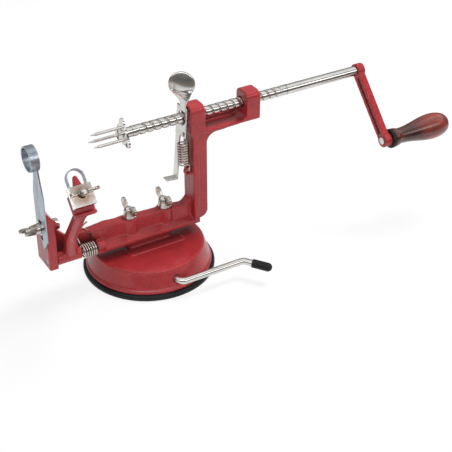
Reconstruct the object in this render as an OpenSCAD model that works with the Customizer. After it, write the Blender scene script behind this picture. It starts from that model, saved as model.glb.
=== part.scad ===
/* [Base] */
// Outer diameter of the rubber suction pad
pad_d = 108; // [104:1:114]
// Height of the pad's rim
pad_h = 4.6; // [4:0.2:5.2]
// Outer diameter of the base shell's lip
shell_lip_d = 103; // [100:1:106]
// Diameter of the base shell's top disc
shell_top_d = 92; // [88:1:94]
// Height of the top disc above the table
shell_top_z = 22.5; // [22:0.5:25]
// Wall thickness of the base shell
shell_wall = 3.2; // [2.4:0.2:3.6]
// Distance between the two base bolts
bolt_span = 31; // [28:1:36]

/* [Frame] */
// Height of the feed shaft's axis above the table
axis_z = 125; // [120:1:130]
// Height of the underside of the bed
bed_z = 31.3; // [30.5:0.2:32.5]
// Height of the bed's web
web_h = 18.7; // [17:0.1:20]
// Thickness of the bed's web
web_t = 8; // [7:0.5:9]
// Depth of the frame from front to back
frame_depth = 21; // [20:0.5:24]
// Face of the column that looks at the fork
column_x = 38; // [37.5:0.5:39]
// Thickness of the column along the shaft
column_t = 13.5; // [12:0.5:15]
// Height of the shaft bosses above the shaft's axis
boss_rise = 11; // [10.5:0.5:12]
// Length of each shaft boss
boss_l = 12.5; // [11:0.5:13]
// Outer face of the end plate
end_x = -90.7; // [-93:0.5:-90]
// Thickness of the end plate
end_t = 7.2; // [6:0.2:7.4]

/* [Feed shaft] */
// Diameter over the thread's crests
shaft_d = 8.6; // [8:0.2:9]
// Advance for one turn of the crank
lead = 6.5; // [6:0.1:7]
// Depth of the thread groove
groove_depth = 0.8; // [0.5:0.1:1]
// Number of thread grooves counted along the shaft
groove_count = 21; // [18:1:21]
// Length of the fork's prongs
prong_l = 26; // [20:1:28]

/* [Crank] */
// Distance from the shaft to the handle's spindle
crank_len = 63.6; // [55:1:70]
// Angle of the crank arm below the horizontal
crank_drop = 47; // [30:1:80]
// Face of the crank hub that looks at the frame
crank_x = 199.5; // [195:0.5:205]
// Length of the wooden handle
handle_l = 57; // [52:1:62]
// Largest diameter of the wooden handle
handle_d = 22; // [20:0.5:24]

/* [Peel arm] */
// Swing axis of the peel arm, from the shaft's plane towards the user
arm_y = 8.5; // [8:0.5:9]
// Height of the swing axis above the underside of the bed
arm_rise = 6.5; // [6.1:0.1:6.9]
// Width of the peel blade's hoop
hoop_w = 14; // [12:0.5:15]
// Reach of the hoop past the clamp
hoop_reach = 14; // [11:0.5:16]

/* [Slicer] */
// Width of the slicing blade
slicer_w = 19; // [16:0.5:20]
// Outer diameter of the coring ring
core_d = 20; // [19:0.5:22]

/* [Suction lever] */
// Diameter of the lever's rod
lever_d = 5.6; // [4.8:0.2:6]
// Lift of the pad's stud
pad_lift = 3; // [2:0.2:3]

/* [Hidden] */
$fn = 64;

// Colours
enamel = [0.62, 0.08, 0.11];
steel = [0.75, 0.75, 0.76];
rubber = [0.09, 0.10, 0.10];
wood = [0.30, 0.07, 0.05];

// Clearances, and how far a cut or a joined solid runs past a face
run_gap = 0.05;
seat_gap = 0.02;
free_gap = 0.3;
over = 1;

// Base
pad_r = pad_d / 2;
lip_r = shell_lip_d / 2;
lip_h = 2.8;
top_r = shell_top_d / 2;
top_edge_r = 2;
ceiling_z = shell_top_z - shell_wall;
lever_depth = 5.8;
lever_z = ceiling_z - lever_depth;
bolt_r = 3;
bolt_head_r = 5.5;
bolt_head_h = 2.6;
bolt_proud = 9;
base_nut = [5.2, 7, 25];
saddle_r = 4.6;
plaque = [48, 10.4, 0.7];
plaque_x = 2;
plaque_y = -9.2;
plaque_rim = 1.2;
plaque_sunk = 0.5;
lever_r = lever_d / 2;
lever_out_y = -54;
lever_run_x = 60;
lever_bend_r = 5;
lever_turn = 55;
grip_l = 16.5;
grip_start = 6;
grip_r = 3.6;
grip_hold = grip_l - 6;
bearing_r = 5;
bearing_l = 10;
throw = pad_lift / 2;
throw_r = 2.2;
disc_r = 4.2;
disc_t = 2;
stud_half_y = 4.5;
front_bearing_y = [-top_r + 1, -top_r + 1 + bearing_l];
back_bearing_y = [disc_t + stud_half_y + 3, disc_t + stud_half_y + 3 + bearing_l - 2];

// Frame
half_depth = frame_depth / 2;
back_y = 7;
rim_t = 5;
rim_step = 2;
pillar_r = 6.5;
flange_t = 2.6;
flange_rise = 6.4;
bed_top_z = bed_z + web_h;
column_end_x = column_x + column_t;
boss_proud = 1.4;
left_boss_x = column_x - boss_proud;
right_boss_x = 87;
boss_edge_r = 5;
rail_drop = 11;
rail_floor_z = axis_z - rail_drop;
rail_floor_t = 2;
rail_web_h = 2.8;
rail_rise = 2.2;
rail_wall_h = 3.5;
rail_wall_t = 2.5;
end_inner_x = end_x + end_t;
end_front_y = -14;
end_back_y = 10;
end_lift = 0.7;
end_low_z = bed_z + end_lift;
end_top_z = 83;
end_slope = 7.5;
end_boss_l = 2.5;
end_boss_r = 5;
recess_x = -49;
recess_y = -1;
pivot_y = -arm_y;
pivot_z = bed_z + arm_rise;
pivot_r = 2;
lug_r = 4;
lug_l = 7;
pin_end_x = recess_x + lug_l - 1;
hook_y = -4;
hook_z = 79;
hook_r = 1.8;
hook_proud = 2.2;
hook_x = column_x - hook_proud;
hook_lug_r = 3.6;
hook_lug_t = 3;

// Feed shaft
shaft_r = shaft_d / 2;
thread_x = -10.2;
thread_end_x = thread_x + lead * (groove_count + 0.5);
groove_flank = 0.45;
groove_floor = 1.5;
groove_start = 0.4;
plain_r = shaft_r - 0.1;
tip_r = shaft_r - 0.3;
fork_x = -18;
fork_t = 1.6;
fork_r = 13;
fork_mid_r = 8.5;
lobe_r = 4;
prong_circle = 5.5;
prong_r = 1.2;
spigot_r = 3.2;
ring_w = 2.4;
ring_groove_r = 3.2;
ring_x = thread_end_x + free_gap / 2;
crank_t = 7;
hub_r = 5.7;
cross_pin_r = 1.25;
pin_depth = 3;
crank_end_x = crank_x + crank_t;
shaft_end_x = crank_end_x - 1;

// Crank handle
crank_y = -crank_len * cos(crank_drop);
crank_z = axis_z - crank_len * sin(crank_drop);
spindle_r = 2.5;
spindle_head_r = 4;
spindle_head_t = 1.6;
spindle_sunk = 3;
collar_t = 3;
collar_r = 8.2;
handle_x = crank_end_x + free_gap + collar_t;
handle_r = handle_d / 2;

// Release lever
tilt = 5;
lever_t = 1.6;
bead_r = 1;
fulcrum_x = left_boss_x - bead_r - 0.2;
fulcrum_z = axis_z + boss_rise;
spring_hole_z = -23.5;
tab_turn = 35;
tab_r = 10.5;

// Peel arm
head = [-73.5, -49.5, 112.5];
head_tilt = 49.5;
strip_t = 0.8;
saddle_t = 1.3;
head_half = hoop_w / 2 - strip_t - run_gap;
arm_hub_x = end_inner_x + 20.5;
head_l = [-6.4, 8];
clamp_cheek = 6;
arm_knee = [end_inner_x + 10.2, pivot_y - 9.5, pivot_z + 23];
arm_knee_half = [4.4, 4.4];
arm_neck = [end_inner_x + 10.2, pivot_y - 32, pivot_z + 55];
arm_neck_half = [4.3, 4.3];
arm_edge = 2;
stud_r = 2;
stud_y = 2.8;
stud_low_z = -6;
stud_top_z = 8;
clamp_nut = [4, 4.6, 23];

// Slicer
slicer_t = 1.1;
slicer_y = -7;
slicer_bolt_y = -5.5;
slicer_bolt_z = 67.5;
slicer_bolt_r = 2.5;
washer_t = 1;
washer_r = 5.4;
slicer_nut = [4.6, 7.4, 22];
slicer_nut_turn = 20;

// Cylinder along X from x0 to x1
module rod_x(r, x0, x1, y = 0, z = 0) {
    translate([x0, y, z])
        rotate([0, 90, 0])
            cylinder(r = r, h = x1 - x0);
}

// Cylinder along Y from y0 to y1
module rod_y(r, y0, y1, x = 0, z = 0) {
    translate([x, y0, z])
        rotate([-90, 0, 0])
            cylinder(r = r, h = y1 - y0);
}

// Cylinder along Z from z0 to z1
module rod_z(r, z0, z1, x = 0, y = 0) {
    translate([x, y, z0])
        cylinder(r = r, h = z1 - z0);
}

// Box between two limits on each axis
module block(x, y, z) {
    translate([x[0], y[0], z[0]])
        cube([x[1] - x[0], y[1] - y[0], z[1] - z[0]]);
}

// Outline in the XZ plane, given a thickness from y0 to y1
module wall_y(y0, y1) {
    translate([0, y1, 0])
        rotate([90, 0, 0])
            linear_extrude(y1 - y0)
                children();
}

// Outline with its points as [-z, y], given a length from x0 to x1
module wall_x(x0, x1) {
    translate([x0, 0, 0])
        rotate([0, 90, 0])
            linear_extrude(x1 - x0)
                children();
}

// Concave corner fillet of radius r, filling the corner at the origin
module fillet(r) {
    sink = 0.01;
    difference() {
        translate([-sink, -sink])
            square(r);
        translate([r, r])
            circle(r);
    }
}

// Wing nut along Z with its seat at the origin
module wing_nut(bore_r, body_r, body_h, span) {
    wing_r = body_h * 0.55;
    wing_z = body_h * 1.35;
    wing_t = 2;
    root_y = body_r * 0.3;
    top_r = body_r * 0.8;
    difference() {
        union() {
            cylinder(r1 = body_r, r2 = top_r, h = body_h);
            for (side = [0, 1])
                mirror([0, side, 0])
                    translate([-wing_t / 2, 0, 0])
                        rotate([90, 0, 90])
                            linear_extrude(wing_t) {
                                translate([span / 2 - wing_r, wing_z])
                                    circle(wing_r);
                                polygon([
                                    [root_y, body_h * 0.25],
                                    [span / 2 - wing_r * 0.2, body_h * 0.85],
                                    [span / 2 - wing_r * 1.8, body_h * 1.75],
                                    [root_y, body_h * 0.95]
                                ]);
                            }
        }
        translate([0, 0, -over])
            cylinder(r = bore_r, h = wing_z + wing_r + 2 * over);
    }
}

// Unit vector
function unit(v) = v / norm(v);

// Directions of a path at its points
function headings(p) = [for (i = [0:len(p) - 1])
    unit(p[min(i + 1, len(p) - 1)] - p[max(i - 1, 0)])];

// Normals carried along a path without twist
function carried(t, n, i = 0) = i >= len(t) ? [] :
    let (m = unit(n - (n * t[i]) * t[i]))
    concat([m], carried(t, m, i + 1));

// Least distance between parts of a path that lie more than a few points apart
function least_gap(p, skip) = min([for (i = [0:len(p) - 1 - skip])
    min([for (j = [i + skip:len(p) - 1]) norm(p[i] - p[j])])]);

// Closed tube of radius r along a path
module tube(p, r, start, sides = 6) {
    t = headings(p);
    n = carried(t, start);
    rings = [for (i = [0:len(p) - 1])
        for (k = [0:sides - 1])
            p[i] + r * (cos(360 * k / sides) * n[i] + sin(360 * k / sides) * cross(t[i], n[i]))];
    last = (len(p) - 1) * sides;
    walls = [for (i = [0:len(p) - 2])
        for (k = [0:sides - 1])
            let (a = i * sides + k, b = i * sides + (k + 1) % sides)
            for (f = [[a, a + sides, b], [b, a + sides, b + sides]]) f];
    caps = [for (k = [1:sides - 2])
        for (f = [[0, k, k + 1], [last, last + k + 1, last + k]]) f];
    polyhedron(points = rings, faces = concat(walls, caps));
}

// C-shaped casting that carries the shaft, the peel arm and the slicing blade
module frame_casting() {
    color(enamel)
        difference() {
            union() {
                bed();
                end_plate();
                column();
                rail();
                shaft_boss(left_boss_x);
                shaft_boss(right_boss_x);
            }
            rod_x(shaft_r + free_gap, left_boss_x - over, right_boss_x + boss_l + over, 0, axis_z);
            for (side = [-1, 1])
                rod_z(bolt_r + seat_gap, bed_z - over, bed_top_z + 2 * over, side * bolt_span / 2, 0);
            rod_x(pivot_r + seat_gap, end_x - over, pin_end_x, pivot_y, pivot_z);
            rod_x(slicer_bolt_r + seat_gap, end_x - over, end_inner_x + end_boss_l + over,
                slicer_bolt_y, slicer_bolt_z);
        }
}

// Bed with its web, bottom flange and bolt pillars
module bed() {
    dip = 3;
    crest = 1.5;
    crest_l = 12;
    foot_l = 6;
    corner_r = 11;
    splice_l = 8;
    gusset_l = 14;
    gusset_h = 16;
    wall_y(-web_t / 2, web_t / 2) {
        polygon([
            [recess_x + foot_l, bed_z],
            [column_x + over, bed_z],
            [column_x + over, bed_top_z - dip],
            [bolt_span / 2 + pillar_r, bed_top_z - dip / 3],
            [-bolt_span / 2 - pillar_r, bed_top_z],
            [recess_x + crest_l, bed_top_z + crest],
            [recess_x - dip, bed_top_z]
        ]);
        translate([column_x, bed_top_z - dip])
            mirror([1, 0])
                fillet(corner_r);
    }
    wall_y(recess_y, web_t / 2)
        polygon([
            [end_inner_x - over, bed_z],
            [recess_x + splice_l, bed_z],
            [recess_x + splice_l, bed_top_z],
            [end_inner_x + gusset_l, bed_top_z],
            [end_inner_x - over, bed_top_z + gusset_h]
        ]);
    wall_x(recess_x, column_x + rim_t)
        flange_section();
    block([end_inner_x - over, recess_x + over], [recess_y, half_depth], [bed_z, bed_z + flange_t]);
    for (side = [-1, 1])
        rod_z(pillar_r, bed_z, bed_top_z, side * bolt_span / 2, 0);
    rod_x(lug_r, recess_x, recess_x + lug_l, pivot_y, pivot_z);
    block([recess_x, recess_x + lug_l], [pivot_y, 0], [bed_z, pivot_z + lug_r / 2]);
}

// Section of the bottom flange, which thins towards its edges
module flange_section() {
    polygon([
        [-bed_z, -half_depth],
        [-bed_z - flange_t, -half_depth],
        [-bed_z - flange_rise, -web_t / 2],
        [-bed_z - flange_rise, web_t / 2],
        [-bed_z - flange_t, half_depth],
        [-bed_z, half_depth]
    ]);
}

// Upright plate at the slicer's end, narrower and sloped at its top
module end_plate() {
    square_h = 20;
    crest_t = 1.5;
    intersection() {
        wall_x(end_x, end_inner_x)
            polygon([
                [-end_low_z, end_front_y],
                [-end_low_z, end_back_y],
                [-end_low_z - square_h, end_back_y],
                [-end_top_z, 0],
                [-end_top_z, end_front_y]
            ]);
        wall_y(end_front_y, end_back_y)
            polygon([
                [end_x, end_low_z],
                [end_inner_x, end_low_z],
                [end_inner_x, end_top_z - end_slope],
                [end_x + crest_t, end_top_z],
                [end_x, end_top_z]
            ]);
    }
    rod_x(end_boss_r, end_inner_x - over, end_inner_x + end_boss_l, slicer_bolt_y, slicer_bolt_z);
}

// Column between the bed and the shaft: a rim, a web behind it and the spring's eye
module column() {
    corner_r = 7;
    web_lift = 2.7;
    web_low_z = bed_z + web_lift;
    rim_x = column_x + rim_t;
    block([column_x, rim_x], [-half_depth, back_y], [bed_z, rail_floor_z]);
    wall_y(-half_depth + rim_step, back_y - rim_step)
        difference() {
            translate([rim_x - over, web_low_z])
                square([column_t - rim_t + over, rail_floor_z - web_low_z]);
            translate([column_end_x, web_low_z])
                mirror([1, 0])
                    fillet(corner_r);
        }
    wall_y(hook_y - hook_lug_t / 2, hook_y + hook_lug_t / 2)
        difference() {
            union() {
                translate([hook_x, hook_z])
                    circle(hook_lug_r);
                translate([hook_x, hook_z - hook_lug_r])
                    square([hook_proud + over, 2 * hook_lug_r]);
            }
            translate([hook_x, hook_z])
                circle(hook_r);
        }
}

// Upper rail between the two shaft bosses, with a wall along its back
module rail() {
    rail_end_x = right_boss_x + boss_l;
    low_z = rail_floor_z - rail_floor_t - rail_web_h;
    corner_r = 8;
    corner_sink = 0.3;
    saddle_end_r = 5;
    wall_y(-half_depth, back_y) {
        translate([left_boss_x + boss_l, rail_floor_z])
            fillet(saddle_end_r);
        translate([right_boss_x, rail_floor_z])
            mirror([1, 0])
                fillet(saddle_end_r);
    }
    block([column_x, rail_end_x], [-half_depth, back_y], [rail_floor_z - rail_floor_t, rail_floor_z]);
    block([column_x, rail_end_x], [back_y - rail_wall_t, back_y],
        [rail_floor_z - over, rail_floor_z + rail_wall_h]);
    wall_y(-half_depth + rim_step, back_y - rim_step) {
        polygon([
            [column_x + over, low_z],
            [column_end_x, low_z],
            [rail_end_x, low_z + rail_rise],
            [rail_end_x, rail_floor_z - over],
            [column_x + over, rail_floor_z - over]
        ]);
        translate([column_end_x, low_z + corner_sink])
            mirror([0, 1])
                fillet(corner_r);
    }
}

// Boss round the shaft with rounded shoulders, starting at x0
module shaft_boss(x0) {
    shoulder = boss_rise - boss_edge_r;
    low_z = rail_floor_z - rail_floor_t;
    wall_x(x0, x0 + boss_l) {
        translate([-axis_z - shoulder, -half_depth])
            square([axis_z + shoulder - low_z, half_depth + back_y]);
        translate([-axis_z - boss_rise, -half_depth + boss_edge_r])
            square([boss_rise, half_depth + back_y - 2 * boss_edge_r]);
        for (y = [-half_depth + boss_edge_r, back_y - boss_edge_r])
            translate([-axis_z - shoulder, y])
                circle(boss_edge_r);
    }
}

// Domed foot with the saddle that the bed stands on
module base_shell() {
    color(enamel)
        difference() {
            union() {
                rotate_extrude($fn = 128)
                    shell_section();
                hull()
                    for (side = [-1, 1])
                        rod_z(saddle_r, ceiling_z, bed_z, side * bolt_span / 2, 0);
                name_plaque();
                lever_bearings();
            }
            for (side = [-1, 1])
                rod_z(bolt_r + seat_gap, ceiling_z - over, bed_z + over, side * bolt_span / 2, 0);
            rod_y(lever_r + run_gap, -lip_r, back_bearing_y[1] + over, 0, lever_z);
        }
}

// Bare plaque with a raised rim in front of the saddle
module name_plaque() {
    translate([plaque_x, plaque_y, shell_top_z])
        difference() {
            translate([-plaque.x / 2, -plaque.y / 2, -over])
                cube(plaque + [0, 0, over]);
            translate([plaque_rim - plaque.x / 2, plaque_rim - plaque.y / 2, plaque.z - plaque_sunk])
                cube(plaque - [2 * plaque_rim, 2 * plaque_rim, 0]);
        }
}

// Half section of the shell
module shell_section() {
    lip_edge = 0.8;
    wall_r = lip_r - 2 * lip_edge;
    difference() {
        union() {
            polygon([
                [0, pad_h],
                [lip_r, pad_h],
                [lip_r, pad_h + lip_h - lip_edge],
                [lip_r - lip_edge, pad_h + lip_h],
                [wall_r, pad_h + lip_h + lip_edge],
                [top_r, shell_top_z - top_edge_r],
                [top_r - top_edge_r, shell_top_z],
                [0, shell_top_z]
            ]);
            translate([top_r - top_edge_r, shell_top_z - top_edge_r])
                circle(top_edge_r);
        }
        polygon([
            [-over, pad_h - over],
            [wall_r - shell_wall, pad_h - over],
            [top_r - shell_wall, ceiling_z],
            [-over, ceiling_z]
        ]);
        translate([-2 * top_r, 0])
            square([2 * top_r, 2 * shell_top_z]);
    }
}

// Front and back bearings of the suction lever inside the shell
module lever_bearings() {
    for (y = [front_bearing_y, back_bearing_y]) {
        rod_y(bearing_r, y[0], y[1], 0, lever_z);
        block([-bearing_r, bearing_r], y, [lever_z, ceiling_z + over]);
    }
}

// Rubber disc that grips the table
module suction_pad() {
    mid_r = 14;
    mid_h = pad_h - 0.2;
    membrane = 3.4;
    cup_h = 1.4;
    cup_r = 29.7;
    sole_w = 9.7;
    edge = 0.6;
    brim = 7;
    color(rubber)
        rotate_extrude($fn = 128)
            polygon([
                [0, cup_h],
                [cup_r, cup_h - 0.2],
                [pad_r - sole_w, 0],
                [pad_r - edge, 0],
                [pad_r, edge],
                [pad_r, pad_h - 2 * edge],
                [pad_r - edge, pad_h - edge / 2],
                [pad_r - 2.5 * edge, pad_h],
                [lip_r - brim, pad_h],
                [lip_r - brim - over, membrane],
                [mid_r + 2, membrane],
                [mid_r, mid_h],
                [0, mid_h]
            ]);
}

// Stud that lifts the middle of the pad, with a slot for the lever's throw
module pad_stud() {
    slot_half_z = throw_r + 0.45;
    slot_half_x = throw + throw_r + 2 * free_gap;
    foot_r = 9;
    foot_t = 1.2;
    half_x = 7;
    top_z = ceiling_z - pad_lift - free_gap;
    color(steel)
        difference() {
            union() {
                rod_z(foot_r, pad_h, pad_h + foot_t);
                block([-half_x, half_x], [-stud_half_y, stud_half_y], [pad_h + foot_t / 2, top_z]);
            }
            block([-slot_half_x, slot_half_x], [-stud_half_y - over, stud_half_y + over],
                [lever_z - throw - slot_half_z, lever_z - throw + slot_half_z]);
        }
}

// Bent rod with the throw that works the stud
module suction_lever() {
    inner_y = stud_half_y + 0.5;
    corner_y = lever_out_y + lever_bend_r;
    run_end_x = lever_run_x - lever_bend_r;
    lap = 0.3;
    bend_r = lever_r + 0.03;
    color(steel) {
        rod_y(lever_r, corner_y - lap, -inner_y, 0, lever_z);
        rod_y(disc_r, -inner_y - disc_t, -inner_y, 0, lever_z);
        rod_y(throw_r, -inner_y - lap, inner_y + lap, 0, lever_z - throw);
        rod_y(disc_r, inner_y, inner_y + disc_t, 0, lever_z);
        rod_y(lever_r, inner_y, back_bearing_y[1] - lap, 0, lever_z);
        translate([lever_bend_r, corner_y, lever_z])
            rotate([0, 0, 180])
                rotate_extrude(angle = 90)
                    translate([lever_bend_r, 0])
                        circle(bend_r);
        rod_x(lever_r, lever_bend_r - lap, run_end_x + lap, lever_out_y, lever_z);
        translate([run_end_x, lever_out_y - lever_bend_r, lever_z])
            rotate([0, 0, 90 - lever_turn])
                rotate_extrude(angle = lever_turn)
                    translate([lever_bend_r, 0])
                        circle(bend_r);
        lever_tip_frame()
            rod_x(lever_r, -lap, grip_start + grip_hold);
    }
}

// Frame at the start of the lever's bent end, with X along the end
module lever_tip_frame() {
    translate([
        lever_run_x - lever_bend_r + lever_bend_r * sin(lever_turn),
        lever_out_y - lever_bend_r + lever_bend_r * cos(lever_turn),
        lever_z
    ])
        rotate([0, 0, -lever_turn])
            children();
}

// Black cap on the lever's end
module lever_grip() {
    color(rubber)
        lever_tip_frame()
            difference() {
                union() {
                    rod_x(grip_r, grip_start, grip_start + grip_l - grip_r);
                    translate([grip_start + grip_l - grip_r, 0, 0])
                        sphere(grip_r);
                }
                rod_x(lever_r + seat_gap, 0, grip_start + grip_hold + seat_gap);
            }
}

// Push-on ring that keeps the lever in its bearing
module lever_clip() {
    clip_y = front_bearing_y[1] + free_gap;
    clip_t = 1;
    clip_w = 2.5;
    color(steel)
        difference() {
            rod_y(lever_r + clip_w, clip_y, clip_y + clip_t, 0, lever_z);
            rod_y(lever_r + seat_gap, clip_y - over, clip_y + clip_t + over, 0, lever_z);
        }
}

// Two bolts that hold the bed on the base
module base_bolts() {
    color(steel)
        for (side = [-1, 1]) {
            rod_z(bolt_head_r, ceiling_z - bolt_head_h, ceiling_z, side * bolt_span / 2, 0);
            rod_z(bolt_r, ceiling_z - over, bed_top_z + bolt_proud, side * bolt_span / 2, 0);
        }
}

// Wing nut on the base bolt next to the peel arm
module base_wing_nut_left() {
    color(steel)
        translate([-bolt_span / 2, 0, bed_top_z])
            wing_nut(bolt_r + seat_gap, base_nut[0], base_nut[1], base_nut[2]);
}

// Wing nut on the base bolt next to the column
module base_wing_nut_right() {
    color(steel)
        translate([bolt_span / 2, 0, bed_top_z])
            wing_nut(bolt_r + seat_gap, base_nut[0], base_nut[1], base_nut[2]);
}

// Threaded and plain steel shaft
module feed_shaft() {
    color(steel)
        difference() {
            union() {
                rod_x(spigot_r, fork_x - over, fork_x + fork_t + over, 0, axis_z);
                rod_x(tip_r, fork_x + fork_t, thread_x, 0, axis_z);
                thread();
                rod_x(ring_groove_r, thread_end_x - over, ring_x + ring_w + over, 0, axis_z);
                rod_x(plain_r, ring_x + ring_w + free_gap / 2, shaft_end_x, 0, axis_z);
            }
            crank_frame()
                cross_hole(cross_pin_r + seat_gap, hub_r + over);
        }
}

// Right hand thread as one closed surface, whose groove fades in and out over a turn
module thread() {
    columns = 16;
    edge = [0, groove_flank, groove_flank + groove_floor, 2 * groove_flank + groove_floor];
    row = 4 * groove_count + 2;
    last = columns - 1;
    function fade(k, a) = k == 0 ? a / columns : k == groove_count - 1 ? 1 - a / columns : 1;
    function place(a, j) = j == 0 ? thread_x : j == row - 1 ? thread_end_x :
        thread_x + lead * (floor((j - 1) / 4) + a / columns) + edge[(j - 1) % 4] + groove_start;
    function reach(a, j) = j == 0 || j == row - 1 || (j - 1) % 4 == 0 || (j - 1) % 4 == 3 ? shaft_r :
        shaft_r - groove_depth * fade(floor((j - 1) / 4), a);
    points = [for (a = [0:last])
        for (j = [0:row - 1])
            let (angle = 360 * a / columns)
            [place(a, j), reach(a, j) * cos(angle), axis_z + reach(a, j) * sin(angle)]];
    walls = [for (a = [0:last - 1])
        for (j = [0:row - 2])
            let (p = a * row + j, q = p + row)
            for (f = [[p, p + 1, q], [q, p + 1, q + 1]]) f];
    seam = [for (j = [1:row - 7])
        let (p = last * row + j, q = j + 4)
        for (f = [[p, p + 1, q], [q, p + 1, q + 1]]) f];
    seam_start = concat(
        [for (j = [0:4]) [last * row, j + 1, j]],
        [[last * row, last * row + 1, 5]]
    );
    seam_end = concat(
        [for (j = [row - 6:row - 3]) [last * row + j, last * row + j + 1, row - 2]],
        [
            [last * row + row - 2, row - 1, row - 2],
            [last * row + row - 2, last * row + row - 1, row - 1]
        ]
    );
    cap_start = [[for (a = [0:last]) a * row]];
    cap_end = [[for (a = [0:last]) (last - a) * row + row - 1]];
    polyhedron(
        points = points,
        faces = concat(walls, seam, seam_start, seam_end, cap_start, cap_end)
    );
}

// Ring that sits in the groove between the thread and the plain length
module snap_ring() {
    color(steel)
        difference() {
            rod_x(shaft_r, ring_x, ring_x + ring_w, 0, axis_z);
            rod_x(ring_groove_r + run_gap, ring_x - over, ring_x + ring_w + over, 0, axis_z);
        }
}

// Three lobed plate behind the prongs
module fork_plate() {
    color(steel)
        difference() {
            union() {
                rod_x(fork_mid_r, fork_x, fork_x + fork_t, 0, axis_z);
                for (k = [0:2])
                    translate([0, 0, axis_z])
                        rotate([120 * k, 0, 0]) {
                            rod_x(lobe_r, fork_x, fork_x + fork_t, 0, fork_r - lobe_r);
                            block([fork_x, fork_x + fork_t], [-lobe_r, lobe_r], [0, fork_r - lobe_r]);
                        }
            }
            rod_x(spigot_r + seat_gap, fork_x - over, fork_x + fork_t + over, 0, axis_z);
            fork_places()
                rod_x(prong_r + seat_gap, fork_x - over, fork_x + fork_t + over);
        }
}

// Places of the three prongs round the shaft
module fork_places() {
    for (k = [0:2])
        translate([0, 0, axis_z])
            rotate([120 * k, 0, 0])
                translate([0, 0, prong_circle])
                    children();
}

// Three pointed prongs
module fork_prongs() {
    point_l = 5;
    point_r = 0.15;
    color(steel)
        fork_places() {
            rod_x(prong_r, fork_x - prong_l + point_l, fork_x + fork_t);
            translate([fork_x - prong_l + point_l, 0, 0])
                rotate([0, -90, 0])
                    cylinder(r1 = prong_r, r2 = point_r, h = point_l);
        }
}

// Frame at the shaft's axis with Z pointing from the handle to the shaft
module crank_frame() {
    translate([0, 0, axis_z])
        rotate([crank_drop - 90, 0, 0])
            children();
}

// Cylinder of radius r from inside the shaft to a place on the hub's far side
module cross_hole(r, end_y) {
    rod_y(r, -pin_depth, end_y, crank_x + crank_t / 2, 0);
}

// Cast crank with a groove along its inner face
module crank_arm() {
    bar_half = 4.6;
    groove_half = 1.8;
    groove_h = 2.4;
    bar_step = 1;
    groove_end = hub_r + 1;
    color(enamel)
        crank_frame()
            difference() {
                union() {
                    rod_x(hub_r, crank_x, crank_end_x);
                    rod_x(hub_r, crank_x, crank_end_x, 0, -crank_len);
                    block([crank_x, crank_end_x - bar_step], [-bar_half, bar_half], [-crank_len, 0]);
                }
                block([crank_x - over, crank_x + groove_h], [-groove_half, groove_half],
                    [-crank_len + groove_end, -groove_end]);
                rod_x(plain_r + seat_gap, crank_x - over, shaft_end_x);
                rod_x(spindle_r + seat_gap, crank_x - over, crank_end_x + over, 0, -crank_len);
                cross_hole(cross_pin_r + seat_gap, hub_r + over);
            }
}

// Pin through the far side of the crank's hub into the shaft
module crank_pin() {
    sunk = 0.4;
    color(steel)
        crank_frame()
            cross_hole(cross_pin_r, hub_r - sunk);
}

// Rivet that the handle turns on
module handle_spindle() {
    rivet_t = 0.5;
    head_x = handle_x + handle_l - spindle_sunk;
    color(steel) {
        rod_x(spindle_r, crank_x - rivet_t / 2, head_x + spindle_head_t / 2, crank_y, crank_z);
        rod_x(spindle_r + rivet_t, crank_x - rivet_t, crank_x, crank_y, crank_z);
        rod_x(spindle_head_r, head_x, head_x + spindle_head_t, crank_y, crank_z);
    }
}

// Dark collar between the crank and the handle
module handle_collar() {
    color(rubber)
        difference() {
            rod_x(collar_r, crank_end_x, crank_end_x + collar_t, crank_y, crank_z);
            rod_x(spindle_r + seat_gap, crank_end_x - over, crank_end_x + collar_t + over, crank_y, crank_z);
        }
}

// Turned wooden handle
module wood_handle() {
    neck_r = 6.8;
    neck_x = 8;
    foot_r = 8;
    foot_l = 1.5;
    tail_r = 4.6;
    dome_l = 15.4;
    belly_x = handle_l - dome_l;
    steps = 12;
    function ease(u) = (1 - cos(180 * u)) / 2;
    outline = concat(
        [[0, 0], [foot_r, 0], [foot_r, foot_l]],
        [for (i = [1:steps / 2])
            let (u = 2 * i / steps)
            [foot_r + (neck_r - foot_r) * ease(u), foot_l + (neck_x - foot_l) * u]],
        [for (i = [1:steps])
            let (u = i / steps)
            [neck_r + (handle_r - neck_r) * ease(u), neck_x + (belly_x - neck_x) * u]],
        [for (i = [1:steps])
            let (u = 90 * i / steps)
            [tail_r + (handle_r - tail_r) * cos(u), belly_x + dome_l * sin(u)]],
        [[0, handle_l]]
    );
    color(wood)
        translate([handle_x, crank_y, crank_z])
            difference() {
                rotate([0, 90, 0])
                    rotate_extrude($fn = 96)
                        polygon(outline);
                rod_x(spindle_r + run_gap, -over, handle_l + over);
                rod_x(spindle_head_r + free_gap, handle_l - spindle_sunk - free_gap, handle_l + over);
            }
}

// Frame of the release lever, with its fulcrum at the origin
module release_frame() {
    translate([fulcrum_x, 0, fulcrum_z])
        rotate([0, tilt, 0])
            children();
}

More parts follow.
